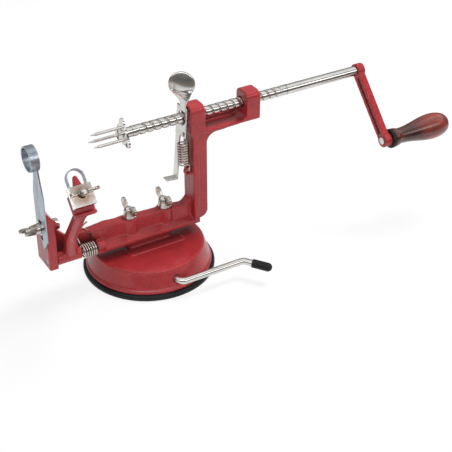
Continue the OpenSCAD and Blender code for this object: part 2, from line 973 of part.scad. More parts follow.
// Sprung plate with a thumb tab, which hangs round the shaft
module release_lever() {
    thick = [-lever_t / 2, lever_t / 2];
    shaft_gap = 1.3;
    spring_hole_r = 1.6;
    plate_front = 6.5;
    plate_back = 9;
    plate_drop = 27;
    plate_y = [-plate_front, plate_back];
    plate_z = [-plate_drop, -2];
    neck = 9;
    neck_h = 1.5;
    tail_y = [2, 8.5];
    tail_z = -67;
    foot_l = 10;
    color(steel)
        release_frame() {
            difference() {
                union() {
                    block(thick, plate_y, plate_z);
                    block(thick, [-neck / 2, neck / 2], [plate_z[1] - over, neck_h]);
                    block(thick, tail_y, [tail_z, plate_z[0] + over]);
                    rod_y(bead_r, -neck / 2, neck / 2);
                }
                rod_x(shaft_r + shaft_gap, -lever_t, lever_t, 0, axis_z - fulcrum_z);
                rod_x(spring_hole_r, -lever_t, lever_t, hook_y, spring_hole_z);
            }
            block([-foot_l, lever_t / 2], tail_y, [tail_z, tail_z + lever_t]);
            thumb_tab(neck);
        }
}

// Dished thumb tab on a neck that widens and twists up to it
module thumb_tab(neck) {
    tab_z = 17;
    tab_x = -2.6;
    dish_r = 26;
    dish_depth = 2.4;
    low_z = 1;
    high_z = 12.5;
    high_half = 8.8;
    dish_y = -1;
    steps = 6;
    difference() {
        translate([tab_x, 0, tab_z])
            rotate([0, 0, -tab_turn])
                intersection() {
                    rod_y(tab_r, -tab_r / 2, tab_r / 2);
                    translate([0, dish_r - dish_depth, 0])
                        difference() {
                            sphere(dish_r, $fn = 96);
                            sphere(dish_r - lever_t, $fn = 96);
                        }
                }
        block([-2 * tab_r, 2 * tab_r], [-2 * tab_r, 2 * tab_r], [-tab_r, high_z - over]);
    }
    for (i = [0:steps - 1])
        hull()
            for (u = [i, i + 1] / steps)
                translate([tab_x * u, 0, low_z + (high_z - low_z) * u])
                    rotate([0, 0, -90 + (90 - tab_turn) * u])
                        translate([0, dish_y * u, 0])
                            neck_slice(neck / 2 + (high_half - neck / 2) * u);
}

// Thin slice of the tab's neck, from its half width
module neck_slice(half) {
    sliver = 0.2;
    block([-half, half], [-lever_t / 2, lever_t / 2], [-sliver, sliver]);
}

// Extension spring that holds the release lever on the thread
module release_spring() {
    wire = 0.65;
    coil_r = 4.2;
    turns = 9;
    hole = [fulcrum_x + spring_hole_z * sin(tilt), hook_y, fulcrum_z + spring_hole_z * cos(tilt)];
    eye = [hook_x, hook_y, hook_z];
    top = hole + [-1.35, 0, -7.1];
    low = eye + [-3.3, 0, 6.5];
    axis = unit(low - top);
    across = unit(cross(axis, [0, 1, 0]));
    side = cross(axis, across);
    steps = 8 * turns;
    coil = [for (i = [0:steps])
        top + (low - top) * i / steps
            + coil_r * (cos(360 * i / 8) * across + sin(360 * i / 8) * side)];
    beside = hook_lug_t / 2 + wire + free_gap;
    path = concat(
        [hole + [-2.6, 0, 0.2], hole + [-0.5, 0, 0.3], hole + [1.8, 0, -1.6],
            top + coil_r * across + [-0.3, 1.6, 1.3]],
        coil,
        [low + coil_r * across + [-0.2, -beside, -1.4], eye + [0, -beside - 0.1, 2.6],
            eye + [0, 0.3 - beside, 0.6], eye + [0, -0.9, 0], eye + [0, beside, 0]]
    );
    echo("release spring least gap", least_gap(coil, 6) - 2 * wire);
    color(steel)
        tube(path, wire, [0, 1, 0]);
}

// Frame on the head of the peel arm: X along the shaft, Y up the slope, Z out of it
module head_frame() {
    translate(head)
        rotate([head_tilt, 0, 0])
            children();
}

// Cast arm that swings the peel blade
module peel_arm() {
    hub_r = 5;
    root_x = 12.2;
    root_half_x = 5.2;
    root_half_y = 4.8;
    root = [end_inner_x + root_x, pivot_y, pivot_z + 3];
    root_half = [root_half_x, root_half_y];
    color(enamel)
        difference() {
            union() {
                rod_x(hub_r, end_inner_x + free_gap, arm_hub_x, pivot_y, pivot_z);
                hull() {
                    arm_bar(root, root_half);
                    arm_bar(arm_knee, arm_knee_half);
                }
                hull() {
                    arm_bar(arm_knee, arm_knee_half);
                    arm_bar(arm_neck, arm_neck_half);
                }
                arm_head();
            }
            rod_x(pivot_r + run_gap, end_inner_x - over, arm_hub_x + over, pivot_y, pivot_z);
            head_frame()
                rod_z(stud_r + seat_gap, stud_low_z, over, 0, stud_y);
        }
}

// Head of the arm: a platform under the clamp, a block between the blade's legs and a nose
module arm_head() {
    shelf_half = hoop_w / 2 + saddle_t + free_gap;
    shelf_y = [-12.6, 4];
    shelf_z = [-10.2, -clamp_cheek - free_gap];
    lip_t = 2.5;
    lip_z = -4.2;
    heel_x = [-head_half, 2];
    heel_l = 6;
    nose_half = 3.4;
    nose_l = hoop_reach - 5;
    nose_r = 1.6;
    nose_z = [-6, -2];
    hull() {
        arm_bar(arm_neck, arm_neck_half);
        head_frame()
            block(heel_x, [shelf_y[0], shelf_y[0] + heel_l],
                [shelf_z[0], shelf_z[0] + over]);
    }
    head_frame() {
        block([-shelf_half, shelf_half], shelf_y, shelf_z);
        block([-shelf_half, shelf_half], [shelf_y[0], shelf_y[0] + lip_t], [shelf_z[0], lip_z]);
        block([-head_half, head_half], head_l, [shelf_z[0], -free_gap]);
        hull() {
            block([-nose_half, nose_half], [head_l[1] - over, head_l[1] + over], nose_z);
            rod_z(nose_r, nose_z[0], nose_z[1], 0, head_l[1] + nose_l - nose_r);
        }
    }
}

// Round bar across the arm at a point, from its half width and radius, with its ends' edges cut back
module arm_bar(p, half) {
    for (cut = [[0, arm_edge], [arm_edge, 0]])
        rod_x(half[1] - cut[1], p.x - half[0] + cut[0], p.x + half[0] - cut[0], p.y, p.z, $fn = 32);
}

// Pin that the peel arm swings on
module arm_pivot_pin() {
    color(steel)
        rod_x(pivot_r, end_x + free_gap, pin_end_x, pivot_y, pivot_z);
}

// Torsion spring beside the peel arm
module arm_spring() {
    wire = 0.7;
    coil_r = 5.6;
    turns = 6;
    x0 = arm_hub_x + 1.5;
    x1 = recess_x - 1.2;
    steps = 8 * turns;
    start = 60;
    touch = arm_knee + [arm_knee_half[0] + wire + free_gap, -9.5, 11.8];
    coil = [for (i = [0:steps])
        let (a = start + 360 * i / 8)
        [x0 + (x1 - x0) * i / steps, pivot_y + coil_r * cos(a), pivot_z + coil_r * sin(a)]];
    path = concat(
        [[x0 - 0.1, recess_y - 0.6, pivot_z + 7.6], [x0 - 0.1, recess_y - 2.4, pivot_z + 6.6]],
        coil,
        [[x1 - 0.6, pivot_y - 0.6, pivot_z + 10.5], touch + [11, 11.5, -14], touch + [3.2, 3.6, -4.4],
            touch, touch + [1, -1.8, 3], touch + [3.4, -3, 5.6]]
    );
    echo("arm spring least gap", least_gap(coil, 6) - 2 * wire);
    color(steel)
        tube(path, wire, [1, 0, 0]);
}

// Steel hoop that takes the skin off
module peel_blade() {
    band_w = 5;
    leg_y = -6;
    outer = hoop_w / 2;
    inner = outer - strip_t;
    arch_y = head_l[1] + hoop_reach - outer;
    color(steel)
        head_frame()
            translate([0, 0, -clamp_cheek])
                linear_extrude(band_w)
                    difference() {
                        union() {
                            translate([0, arch_y])
                                circle(outer);
                            translate([-outer, leg_y])
                                square([2 * outer, arch_y - leg_y]);
                        }
                        translate([0, arch_y])
                            circle(inner);
                        translate([-inner, leg_y - over])
                            square([2 * inner, arch_y - leg_y + over]);
                    }
}

// Saddle plate over the blade's legs, with two grooves along each cheek
module blade_clamp() {
    inner = hoop_w / 2 + seat_gap;
    outer = inner + saddle_t;
    reach_y = [-6.6, 9.2];
    groove_half = 0.4;
    groove_t = 0.45;
    color(steel)
        head_frame()
            difference() {
                union() {
                    block([-outer, outer], reach_y, [0, saddle_t]);
                    for (side = [0, 1])
                        mirror([side, 0, 0])
                            block([inner, outer], reach_y, [-clamp_cheek, saddle_t]);
                }
                rod_z(stud_r + seat_gap, -over, saddle_t + over, 0, stud_y);
                for (side = [0, 1], z = [-1.4, -3.6])
                    mirror([side, 0, 0])
                        block([outer - groove_t, outer + over], [reach_y[0] - over, reach_y[1] + over],
                            [z - groove_half, z + groove_half]);
            }
}

// Stud that draws the clamp down
module clamp_stud() {
    color(steel)
        head_frame()
            rod_z(stud_r, stud_low_z, stud_top_z, 0, stud_y);
}

// Wing nut on the clamp
module clamp_wing_nut() {
    color(steel)
        head_frame()
            translate([0, stud_y, saddle_t])
                rotate([0, 0, 90])
                    wing_nut(stud_r + seat_gap, clamp_nut[0], clamp_nut[1], clamp_nut[2]);
}

// Slicing blade with a slot for its bolt and a coring ring at its top
module slicer_blade() {
    half = slicer_w / 2;
    core_r = core_d / 2;
    core_t = 1.2;
    low_z = 50;
    core_x = [end_x - slicer_t - 3.5, end_x + 2.4];
    slot_half = slicer_bolt_r + free_gap;
    slot_below = 10;
    slot_above = 7;
    slot_z = [slicer_bolt_z - slot_below, slicer_bolt_z + slot_above];
    color(steel)
        difference() {
            union() {
                wall_x(end_x - slicer_t, end_x)
                    polygon([
                        [-low_z, slicer_y - 2],
                        [-low_z - 10, slicer_y - half],
                        [-axis_z + 26, slicer_y - half],
                        [-axis_z + 14, -core_r - 3],
                        [-axis_z + 1, -core_r + 0.2],
                        [-axis_z + core_r - 1, -2],
                        [-axis_z + 19, 0],
                        [-axis_z + 28, slicer_y + half],
                        [-low_z - 14, slicer_y + half]
                    ]);
                rod_x(core_r, core_x[0], core_x[1], 0, axis_z);
            }
            rod_x(core_r - core_t, core_x[0] - over, core_x[1] + over, 0, axis_z);
            block([end_x - slicer_t - over, end_x + over],
                [slicer_bolt_y - slot_half, slicer_bolt_y + slot_half], slot_z);
        }
}

// Bolt through the end plate and the slicing blade
module slicer_bolt() {
    head_x = end_inner_x + end_boss_l;
    head_r = 4.6;
    head_t = 3.2;
    proud = 13;
    color(steel) {
        rod_x(slicer_bolt_r, end_x - proud, head_x + over, slicer_bolt_y, slicer_bolt_z);
        translate([head_x, slicer_bolt_y, slicer_bolt_z])
            rotate([0, 90, 0])
                cylinder(r = head_r, h = head_t, $fn = 6);
    }
}

// Washer between the slicing blade and its wing nut
module slicer_washer() {
    color(steel)
        difference() {
            rod_x(washer_r, end_x - slicer_t - washer_t, end_x - slicer_t, slicer_bolt_y, slicer_bolt_z);
            rod_x(slicer_bolt_r + seat_gap, end_x - slicer_t - washer_t - over, end_x,
                slicer_bolt_y, slicer_bolt_z);
        }
}

// Wing nut on the slicing blade's bolt
module slicer_wing_nut() {
    color(steel)
        translate([end_x - slicer_t - washer_t, slicer_bolt_y, slicer_bolt_z])
            rotate([0, -90, 0])
                rotate([0, 0, slicer_nut_turn])
                    wing_nut(slicer_bolt_r + seat_gap, slicer_nut[0], slicer_nut[1], slicer_nut[2]);
}

frame_casting();
base_shell();
suction_pad();
pad_stud();
suction_lever();
lever_grip();
lever_clip();
base_bolts();
base_wing_nut_left();
base_wing_nut_right();
feed_shaft();
snap_ring();
fork_plate();
fork_prongs();
crank_arm();
crank_pin();
handle_spindle();
handle_collar();
wood_handle();
release_lever();
release_spring();
peel_arm();
arm_pivot_pin();
arm_spring();
peel_blade();
blade_clamp();
clamp_stud();
clamp_wing_nut();
slicer_blade();
slicer_bolt();
slicer_washer();
slicer_wing_nut();
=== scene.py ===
"""Looks of a hand cranked fruit peeler, corer and slicer, built round its CAD frame."""

import math

import bmesh
import bpy
import numpy as np
from bpy.props import FloatProperty, FloatVectorProperty, IntProperty, PointerProperty
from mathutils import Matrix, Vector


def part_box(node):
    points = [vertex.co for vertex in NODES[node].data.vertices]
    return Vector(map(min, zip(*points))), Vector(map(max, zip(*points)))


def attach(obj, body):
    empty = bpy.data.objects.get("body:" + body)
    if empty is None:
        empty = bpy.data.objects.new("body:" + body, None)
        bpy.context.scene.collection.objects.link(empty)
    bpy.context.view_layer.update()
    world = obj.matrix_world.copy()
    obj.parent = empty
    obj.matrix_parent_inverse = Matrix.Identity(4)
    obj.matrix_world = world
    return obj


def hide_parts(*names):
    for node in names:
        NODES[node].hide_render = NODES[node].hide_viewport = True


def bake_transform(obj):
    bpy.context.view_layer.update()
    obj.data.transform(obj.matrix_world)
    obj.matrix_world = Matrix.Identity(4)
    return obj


bl_info = {
    "name": "Hand cranked peeler",
    "version": (1, 0, 0),
    "blender": (4, 5, 0),
    "location": "View3D > Sidebar > Peeler",
    "description": "Finishes, wound springs and turned pieces of a hand cranked fruit peeler",
    "category": "Object",
}

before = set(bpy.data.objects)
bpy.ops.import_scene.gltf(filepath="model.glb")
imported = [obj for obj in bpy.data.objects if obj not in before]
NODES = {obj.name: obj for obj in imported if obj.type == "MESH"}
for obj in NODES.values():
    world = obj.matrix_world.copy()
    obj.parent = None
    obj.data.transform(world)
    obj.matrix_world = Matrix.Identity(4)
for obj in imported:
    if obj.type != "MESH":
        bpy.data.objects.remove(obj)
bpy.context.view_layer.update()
MM = 0.001
TURN = 2 * math.pi
WHITE = (1, 1, 1, 1)
BLACK = (0, 0, 0, 1)
BOLT_SIDES = 48
COIL_STEPS = 40
WIRE_SIDES = 12
HOOK_STEPS = 8
MERGE = 0.001 * MM
HEAD_AT = (-73.5, -49.5, 112.5)
HEAD_TILT = math.radians(49.5)
SENSOR_W = 36


def middle(node):
    """Centre of a CAD node's box, as an array."""
    low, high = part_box(node)
    return (np.array(low) + np.array(high)) / 2


def reach(node, axis):
    """Lowest and highest coordinate of a CAD node along one axis."""
    low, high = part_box(node)
    return low[axis], high[axis]


class PeelerSizes(bpy.types.PropertyGroup):
    """Sizes of the pieces that are made here."""

    shaft_r: FloatProperty(
        name="Shaft radius", description="Radius over the thread's crests",
        default=4.3 * MM, unit="LENGTH")
    lead: FloatProperty(
        name="Lead", description="Advance of the thread in one turn",
        default=6.5 * MM, unit="LENGTH")
    groove_depth: FloatProperty(
        name="Groove depth", description="Depth of the thread's groove",
        default=0.8 * MM, unit="LENGTH")
    groove_w: FloatProperty(
        name="Groove width", description="Width of the thread's groove at the crests",
        default=2.4 * MM, unit="LENGTH")
    groove_turns: IntProperty(
        name="Groove turns", description="Turns of the thread along the shaft", default=21)
    release_wire: FloatProperty(
        name="Release spring wire", description="Radius of the release spring's wire",
        default=0.65 * MM, unit="LENGTH")
    arm_wire: FloatProperty(
        name="Arm spring wire", description="Radius of the arm spring's wire",
        default=0.7 * MM, unit="LENGTH")
    cast_edge: IntProperty(
        name="Casting smoothing", description="Smoothing passes that round a casting's edges",
        default=7)


class PeelerColours(bpy.types.PropertyGroup):
    """Colours of the finishes."""

    enamel: FloatVectorProperty(
        name="Enamel", description="Red of the cast pieces", subtype="COLOR", size=4,
        default=(0.362, 0.025, 0.0305, 1))
    steel: FloatVectorProperty(
        name="Plated steel", description="Bright plating", subtype="COLOR", size=4,
        default=(0.74, 0.725, 0.70, 1))
    blade: FloatVectorProperty(
        name="Blade steel", description="Ground blade steel", subtype="COLOR", size=4,
        default=(0.47, 0.535, 0.60, 1))
    rubber: FloatVectorProperty(
        name="Rubber", description="Black rubber of the pad", subtype="COLOR", size=4,
        default=(0.007, 0.0075, 0.008, 1))
    wood: FloatVectorProperty(
        name="Wood", description="Stained wood of the handle", subtype="COLOR", size=4,
        default=(0.155, 0.019, 0.010, 1))


class PeelerStage(bpy.types.PropertyGroup):
    """Camera and light."""

    camera_at: FloatVectorProperty(
        name="Camera place", description="Where the camera stands", subtype="XYZ",
        default=(-0.3254, -0.6716, 0.5215))
    yaw: FloatProperty(
        name="Camera yaw", description="Turn of the camera to the right of +Y",
        default=math.radians(30.72), subtype="ANGLE")
    drop: FloatProperty(
        name="Camera drop", description="How far the camera looks down",
        default=math.radians(33.15), subtype="ANGLE")
    lens: FloatProperty(
        name="Lens", description="Focal length in millimetres on a 36 mm wide sensor", default=87.61)
    ambient: FloatProperty(
        name="Ambient", description="Strength of the even light from all round", default=0.22)
    key: FloatProperty(
        name="Key light", description="Power of the soft light at the right", default=26, unit="POWER")
    fill: FloatProperty(
        name="Fill light", description="Power of the soft light in front", default=12, unit="POWER")


class Value:
    """A socket whose arithmetic adds Math nodes to its own tree."""

    def __init__(self, wiring, socket):
        self.wiring = wiring
        self.socket = socket

    def math(self, operation, first, second):
        """Math node on two values or numbers."""
        return self.wiring.node("ShaderNodeMath", {"operation": operation}, {0: first, 1: second})

    def __add__(self, other):
        return self.math("ADD", self, other)

    def __sub__(self, other):
        return self.math("SUBTRACT", self, other)

    def __rsub__(self, other):
        return self.math("SUBTRACT", other, self)

    def __mul__(self, other):
        return self.math("MULTIPLY", self, other)

    __radd__ = __add__
    __rmul__ = __mul__


class Wiring:
    """Node tree of a finish, filled through one method."""

    def __init__(self, tree):
        self.tree = tree
        tree.nodes.clear()

    def node(self, kind, settings=None, sockets=None, output=0):
        """Adds a node: its settings first, then values or links for its sockets."""
        node = self.tree.nodes.new(kind)
        for name, setting in (settings or {}).items():
            if name == "stops":
                self.set_stops(node.color_ramp, setting)
            else:
                setattr(node, name, setting)
        for name, value in (sockets or {}).items():
            if isinstance(value, Value):
                self.tree.links.new(value.socket, node.inputs[name])
            else:
                node.inputs[name].default_value = value
        return Value(self, node.outputs[output]) if node.outputs else None

    def set_stops(self, ramp, stops):
        """Places a ramp's stops, given as (position, colour)."""
        while len(ramp.elements) < len(stops):
            ramp.elements.new(1)
        for element, (position, colour) in zip(ramp.elements, stops):
            element.position = position
            element.color = colour

    def place(self, centre=(0, 0, 0), stretch=(1, 1, 1)):
        """Object coordinates from a centre, stretched by a factor on each axis."""
        coords = self.node("ShaderNodeTexCoord", output="Object")
        shift = tuple(-c * s for c, s in zip(centre, stretch))
        sockets = {"Vector": coords, "Location": shift, "Scale": stretch}
        return self.node("ShaderNodeMapping", None, sockets)

    def noise(self, vector, scale, detail, rough=0.5):
        """Cloudy value about one half, with scale patches to the metre."""
        return self.node("ShaderNodeTexNoise", None, {
            "Vector": vector, "Scale": scale, "Detail": detail, "Roughness": rough})

    def mix(self, factor, first, second, blend="MIX"):
        """Two colours mixed by a factor."""
        sockets = {0: factor, 6: first, 7: second}
        return self.node("ShaderNodeMix", {"data_type": "RGBA", "blend_type": blend}, sockets, 2)

    def axis(self, vector, name):
        """One of a vector's coordinates."""
        return self.node("ShaderNodeSeparateXYZ", None, {"Vector": vector}, name)

    def distance(self, vector):
        """Length of a vector."""
        return self.node("ShaderNodeVectorMath", {"operation": "LENGTH"}, {0: vector}, "Value")

    def ramp(self, value, *stops):
        """Colour from a value, by (position, colour) stops."""
        return self.node("ShaderNodeValToRGB", {"stops": stops}, {"Fac": value})

    def open_air(self, distance, alone):
        """Share of open air round a point, from its own piece alone or from all the pieces."""
        settings = {"only_local": alone, "samples": 8}
        return self.node("ShaderNodeAmbientOcclusion", settings, {"Distance": distance}, "AO")

    def bump(self, height, depth, strength):
        """Normal bent by a height, whose full range is depth metres."""
        sockets = {"Height": height, "Distance": depth, "Strength": strength}
        return self.node("ShaderNodeBump", None, sockets)

    def finish(self, **sockets):
        """Principled surface with its sockets named with underscores for spaces."""
        named = {name.replace("_", " "): value for name, value in sockets.items()}
        shader = self.node("ShaderNodeBsdfPrincipled", None, named)
        self.node("ShaderNodeOutputMaterial", None, {"Surface": shader})


def shade(colour, factor):
    """A colour made lighter or darker by a factor."""
    return tuple(channel * factor for channel in colour[:3]) + (1,)


def tint(colour, red, green, blue):
    """A colour with a factor for each channel."""
    return colour[0] * red, colour[1] * green, colour[2] * blue, 1


def new_material(name):
    """Material and its empty wiring."""
    material = bpy.data.materials.new(name)
    material.use_nodes = True
    return material, Wiring(material.node_tree)


def enamel(name, colour, pebble_depth, flecks, coat_weight, alone):
    """Glossy red enamel over a pebbled casting, with painted glints as pale flecks on its high spots
    and painted shade in its deep corners.
    The corners are those of the piece alone, or those that it makes with the pieces round it."""
    material, w = new_material(name)
    fleck_red = (0.75, 0.22, 0.22, 1)
    painted_shade_colour = (0.032, 0.023, 0.021, 1)
    shade_reach = 22 * MM
    at = w.place()
    cloud = w.noise(at, scale=70, detail=2)
    pebble = w.noise(at, scale=900, detail=2, rough=0.55)
    orange_peel = w.noise(at, scale=2600, detail=1)
    tone = 0.7 * cloud + 0.3 * pebble
    plain = w.ramp(tone, (0.3, shade(colour, 0.82)), (0.72, shade(colour, 1.15)))
    # Pale flecks on the pebbles' high spots: painted glints.
    painted_glints = w.ramp(pebble, (0.56, BLACK), (0.7, shade(WHITE, flecks)))
    red = w.mix(w.axis(painted_glints, "X"), plain, fleck_red)
    # Painted shade: the base colour goes dark where little open air reaches a corner.
    open_air = w.open_air(shade_reach, alone)
    unshaded_share = w.ramp(open_air, (0.18, shade(WHITE, 0.08)), (0.37, shade(WHITE, 0.76)), (0.56, WHITE))
    height = pebble + 0.25 * orange_peel
    w.finish(
        Base_Color=w.mix(w.axis(unshaded_share, "X"), painted_shade_colour, red), Roughness=0.26 + 0.2 * pebble,
        Normal=w.bump(height, pebble_depth, strength=0.6),
        Specular_IOR_Level=0.25, Coat_Weight=coat_weight, Coat_Roughness=0.05, IOR=1.5)
    return material


def plating(name, colour, rough):
    """Plating with faint clouding and fine scratches."""
    material, w = new_material(name)
    cloud = w.noise(w.place(), scale=110, detail=3)
    scratch = w.noise(w.place(stretch=(60, 900, 900)), scale=4, detail=2)
    colours = w.ramp(cloud, (0.3, shade(colour, 0.9)), (0.7, shade(colour, 1.08)))
    w.finish(
        Base_Color=colours, Metallic=1, Roughness=rough + 0.05 * cloud,
        Normal=w.bump(scratch, 0.01 * MM, strength=0.4))
    return material


def steel_shaded_between_turns(name, colour, rough, gap_shade, shut, clear):
    """Bright steel with painted shade between the turns of a spring or thread, from the share of open
    air where the painted shade is darkest to the share where none is left."""
    material, w = new_material(name)
    cloud = w.noise(w.place(), scale=110, detail=3)
    plain = w.ramp(cloud, (0.3, shade(colour, 0.88)), (0.7, shade(colour, 1.08)))
    turn_gap = 2 * MM
    # Painted shade between the turns, where little open air reaches.
    painted_gap_shade = w.ramp(w.open_air(turn_gap, alone=True), (shut, gap_shade), (clear, WHITE))
    w.finish(
        Base_Color=w.mix(1, plain, painted_gap_shade, "MULTIPLY"), Metallic=1, Roughness=rough + 0.06 * cloud)
    return material


def plating_painted_reflection(name, colour):
    """Bright plating with a painted reflection: warm round the clamp's nut, brighter further from it.
    """
    material, w = new_material(name)
    at = w.place(tuple(middle("clamp_wing_nut")))
    cloud = w.noise(at, scale=170, detail=2)
    fade_rate = 60
    ragged = 5 * MM
    nut_distance = w.distance(at) + ragged * cloud
    warm = tint(colour, 0.68, 0.5, 0.39)
    # Warm round the nut and brighter further out: a painted reflection.
    colours = w.ramp(nut_distance * fade_rate, (0.5, warm), (0.85, shade(colour, 1.2)))
    w.finish(
        Base_Color=colours, Metallic=1, Roughness=0.14 + 0.08 * cloud,
        Normal=w.bump(cloud, 0.01 * MM, strength=0.3))
    return material


def cast_plating(name, colour):
    """Plating on rough die castings, warmer in random patches."""
    material, w = new_material(name)
    at = w.place()
    cloud = w.noise(at, scale=260, detail=3)
    grain = w.noise(at, scale=1500, detail=2)
    warm = tint(colour, 0.45, 0.36, 0.31)
    colours = w.ramp(cloud, (0.35, warm), (0.65, shade(colour, 0.9)))
    w.finish(
        Base_Color=colours, Metallic=1, Roughness=0.14 + 0.16 * grain,
        Normal=w.bump(grain, 0.08 * MM, strength=0.5))
    return material


def blade_steel(name, colour, edge_y):
    """Satin steel with grinding lines along the blade, and a painted reflection: lighter in front of a
    wavy dark line.
    """
    material, w = new_material(name)
    at = w.place()
    lines = w.noise(w.place(stretch=(2600, 2600, 60)), scale=1, detail=2)
    cloud = w.noise(at, scale=90, detail=2)
    wave = w.noise(w.place(stretch=(1, 1, 0.4)), scale=160, detail=1)
    edge_rate = 120
    # Lighter side and wavy dark line across the blade: a painted reflection.
    reflection_side = (edge_y - w.axis(at, "Y")) * edge_rate + wave
    plain = w.ramp(cloud, (0.3, shade(colour, 0.9)), (0.7, shade(colour, 1.08)))
    edge = w.ramp(reflection_side, (0.36, shade(WHITE, 0.88)), (0.48, shade(WHITE, 0.6)), (0.6, WHITE))
    w.finish(
        Base_Color=w.mix(1, plain, edge, "MULTIPLY"), Metallic=1, Roughness=0.27 + 0.16 * lines,
        Normal=w.bump(lines, 0.012 * MM, strength=0.5))
    return material


def rubber(name, colour):
    """Satin black rubber or plastic with a fine grain and a little dust."""
    material, w = new_material(name)
    at = w.place()
    grain = w.noise(at, scale=2200, detail=2)
    dust = w.noise(at, scale=140, detail=4, rough=0.65)
    colours = w.ramp(dust, (0.45, colour), (0.85, shade(colour, 2.4)))
    w.finish(
        Base_Color=colours, Roughness=0.4 + 0.2 * dust, Normal=w.bump(grain, 0.02 * MM, strength=0.3),
        Specular_IOR_Level=0.15, Coat_Weight=0.2, Coat_Roughness=0.1)
    return material


def stained_wood(name, colour):
    """Dark red-brown turned wood under gloss varnish, with its grain along the handle."""
    material, w = new_material(name)
    centre = tuple(middle("wood_handle"))
    heart = (centre[0], centre[1] + 6 * MM, centre[2] + 3 * MM)
    foot_x, tail_x = reach("wood_handle", 0)
    fibres = w.noise(w.place(centre, (60, 800, 800)), scale=1, detail=4, rough=0.6)
    cloud = w.noise(w.place(centre, (90, 220, 220)), scale=1, detail=2)
    rings = w.node("ShaderNodeTexWave", {"wave_type": "RINGS", "rings_direction": "X"}, {
        "Vector": w.place(heart, (12, 160, 160)),
        "Scale": 0.6, "Distortion": 5.0, "Detail": 3.0, "Detail Scale": 1.6}, "Fac")
    along = w.axis(w.place((foot_x, 0, 0)), "X") * (1 / (tail_x - foot_x))
    # Tone along the handle: darkest a little past the foot, lightest near the tail, darker at its very
    # end.
    along_tone = along + 0.5 * (cloud - 0.5)
    tone = w.ramp(
        along_tone, (0.05, shade(colour, 0.6)), (0.28, shade(colour, 0.2)), (0.6, shade(colour, 1.3)),
        (0.85, shade(colour, 1.7)), (1.0, shade(colour, 0.7)))
    pattern = 0.25 * rings + 0.75 * fibres
    streaks = w.ramp(pattern, (0.32, shade(WHITE, 0.58)), (0.62, WHITE))
    w.finish(
        Base_Color=w.mix(1, tone, streaks, "MULTIPLY"), Roughness=0.26 + 0.12 * fibres,
        Normal=w.bump(fibres, 0.04 * MM, strength=0.3), Coat_Weight=0.8, Coat_Roughness=0.05)
    return material


def grid_faces(rows, cols, wrap_rows):
    """Quads of a grid that is closed round its columns, and round its rows where asked."""
    row = np.arange(rows if wrap_rows else rows - 1)[:, None]
    col = np.arange(cols)[None, :]
    next_row = (row + 1) % rows
    next_col = (col + 1) % cols
    corners = (
        row * cols + col, row * cols + next_col, next_row * cols + next_col, next_row * cols + col)
    return np.stack(np.broadcast_arrays(*corners), -1).reshape(-1, 4)


def surface(points, wrap_rows=False):
    """Mesh data of a grid of points, with flat caps on its first and last rows unless they meet."""
    rows, cols = points.shape[:2]
    faces = grid_faces(rows, cols, wrap_rows).tolist()
    if not wrap_rows:
        last = (rows - 1) * cols
        faces.append(list(range(cols))[::-1])
        faces.append(list(range(last, last + cols)))
    return points.reshape(-1, 3), faces


def piece(name, parts, material, body, node):
    """One object from the point grids of its parts, riding on a body in place of a CAD node."""
    sharp = math.radians(40)
    points = []
    faces = []
    count = 0
    for part_points, part_faces in parts:
        points.append(part_points)
        faces.extend([[index + count for index in face] for face in part_faces])
        count += len(part_points)
    mesh = bpy.data.meshes.new(name)
    mesh.from_pydata(np.concatenate(points), [], faces)
    mesh.shade_smooth()
    obj = bpy.data.objects.new(name, mesh)
    bpy.context.scene.collection.objects.link(obj)
    mesh.materials.append(material)
    mesh.set_sharp_from_angle(angle=sharp)
    if body:
        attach(obj, body)
    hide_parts(node)
    return obj


def angles(sides):
    """Angles of a full turn, as one row."""
    return np.linspace(0, TURN, sides, endpoint=False)[None, :]


def turned(profile, centre, sides, axis=0):
    """Turned surface: rows of (along, radius) carried round an axis through centre."""
    along = profile[:, :1] + 0 * angles(sides)
    radius = profile[:, 1:]
    across = (radius * np.cos(angles(sides)), radius * np.sin(angles(sides)))
    order = [(axis + k) % 3 for k in range(3)]
    points = np.empty(along.shape + (3,))
    for place, values in zip(order, (along,) + across):
        points[..., place] = values + centre[place]
    return points


def rounded(profile, radius):
    """Closed outline whose corners are quadratic curves that start one radius from each corner,
    or nearer where a side is too short for it."""
    steps = 5
    share = 0.45
    corner = np.asarray(profile, float)
    before = np.roll(corner, 1, 0) - corner
    after = np.roll(corner, -1, 0) - corner
    before_l = np.linalg.norm(before, axis=1, keepdims=True)
    after_l = np.linalg.norm(after, axis=1, keepdims=True)
    size = np.minimum(radius, np.minimum(before_l, after_l) * share)
    start = corner + before / before_l * size
    end = corner + after / after_l * size
    t = np.linspace(0, 1, steps)[None, :, None]
    curve = ((1 - t) ** 2 * start[:, None] + 2 * t * (1 - t) * corner[:, None]
             + t ** 2 * end[:, None])
    return curve.reshape(-1, 2)


def through(points):
    """Smooth path through points: one cubic span between each pair, with central slopes."""
    p = np.asarray(points, float)
    slope = np.gradient(p, axis=0)
    t = np.linspace(0, 1, HOOK_STEPS, endpoint=False)[None, :, None]
    a, b = p[:-1, None], p[1:, None]
    da, db = slope[:-1, None], slope[1:, None]
    span = ((2 * t ** 3 - 3 * t ** 2 + 1) * a + (t ** 3 - 2 * t ** 2 + t) * da
            + (3 * t ** 2 - 2 * t ** 3) * b + (t ** 3 - t ** 2) * db)
    return np.concatenate([span.reshape(-1, 3), p[-1:]])


def wire(path, radius, aside):
    """Round wire along a path: circles across its direction, started from a fixed side vector."""
    heading = np.gradient(path, axis=0)
    heading /= np.linalg.norm(heading, axis=1, keepdims=True)
    normal = np.cross(heading, np.asarray(aside, float))
    normal /= np.linalg.norm(normal, axis=1, keepdims=True)
    binormal = np.cross(heading, normal)
    a = angles(WIRE_SIDES)[..., None]
    return path[:, None] + radius * (np.cos(a) * normal[:, None] + np.sin(a) * binormal[:, None])


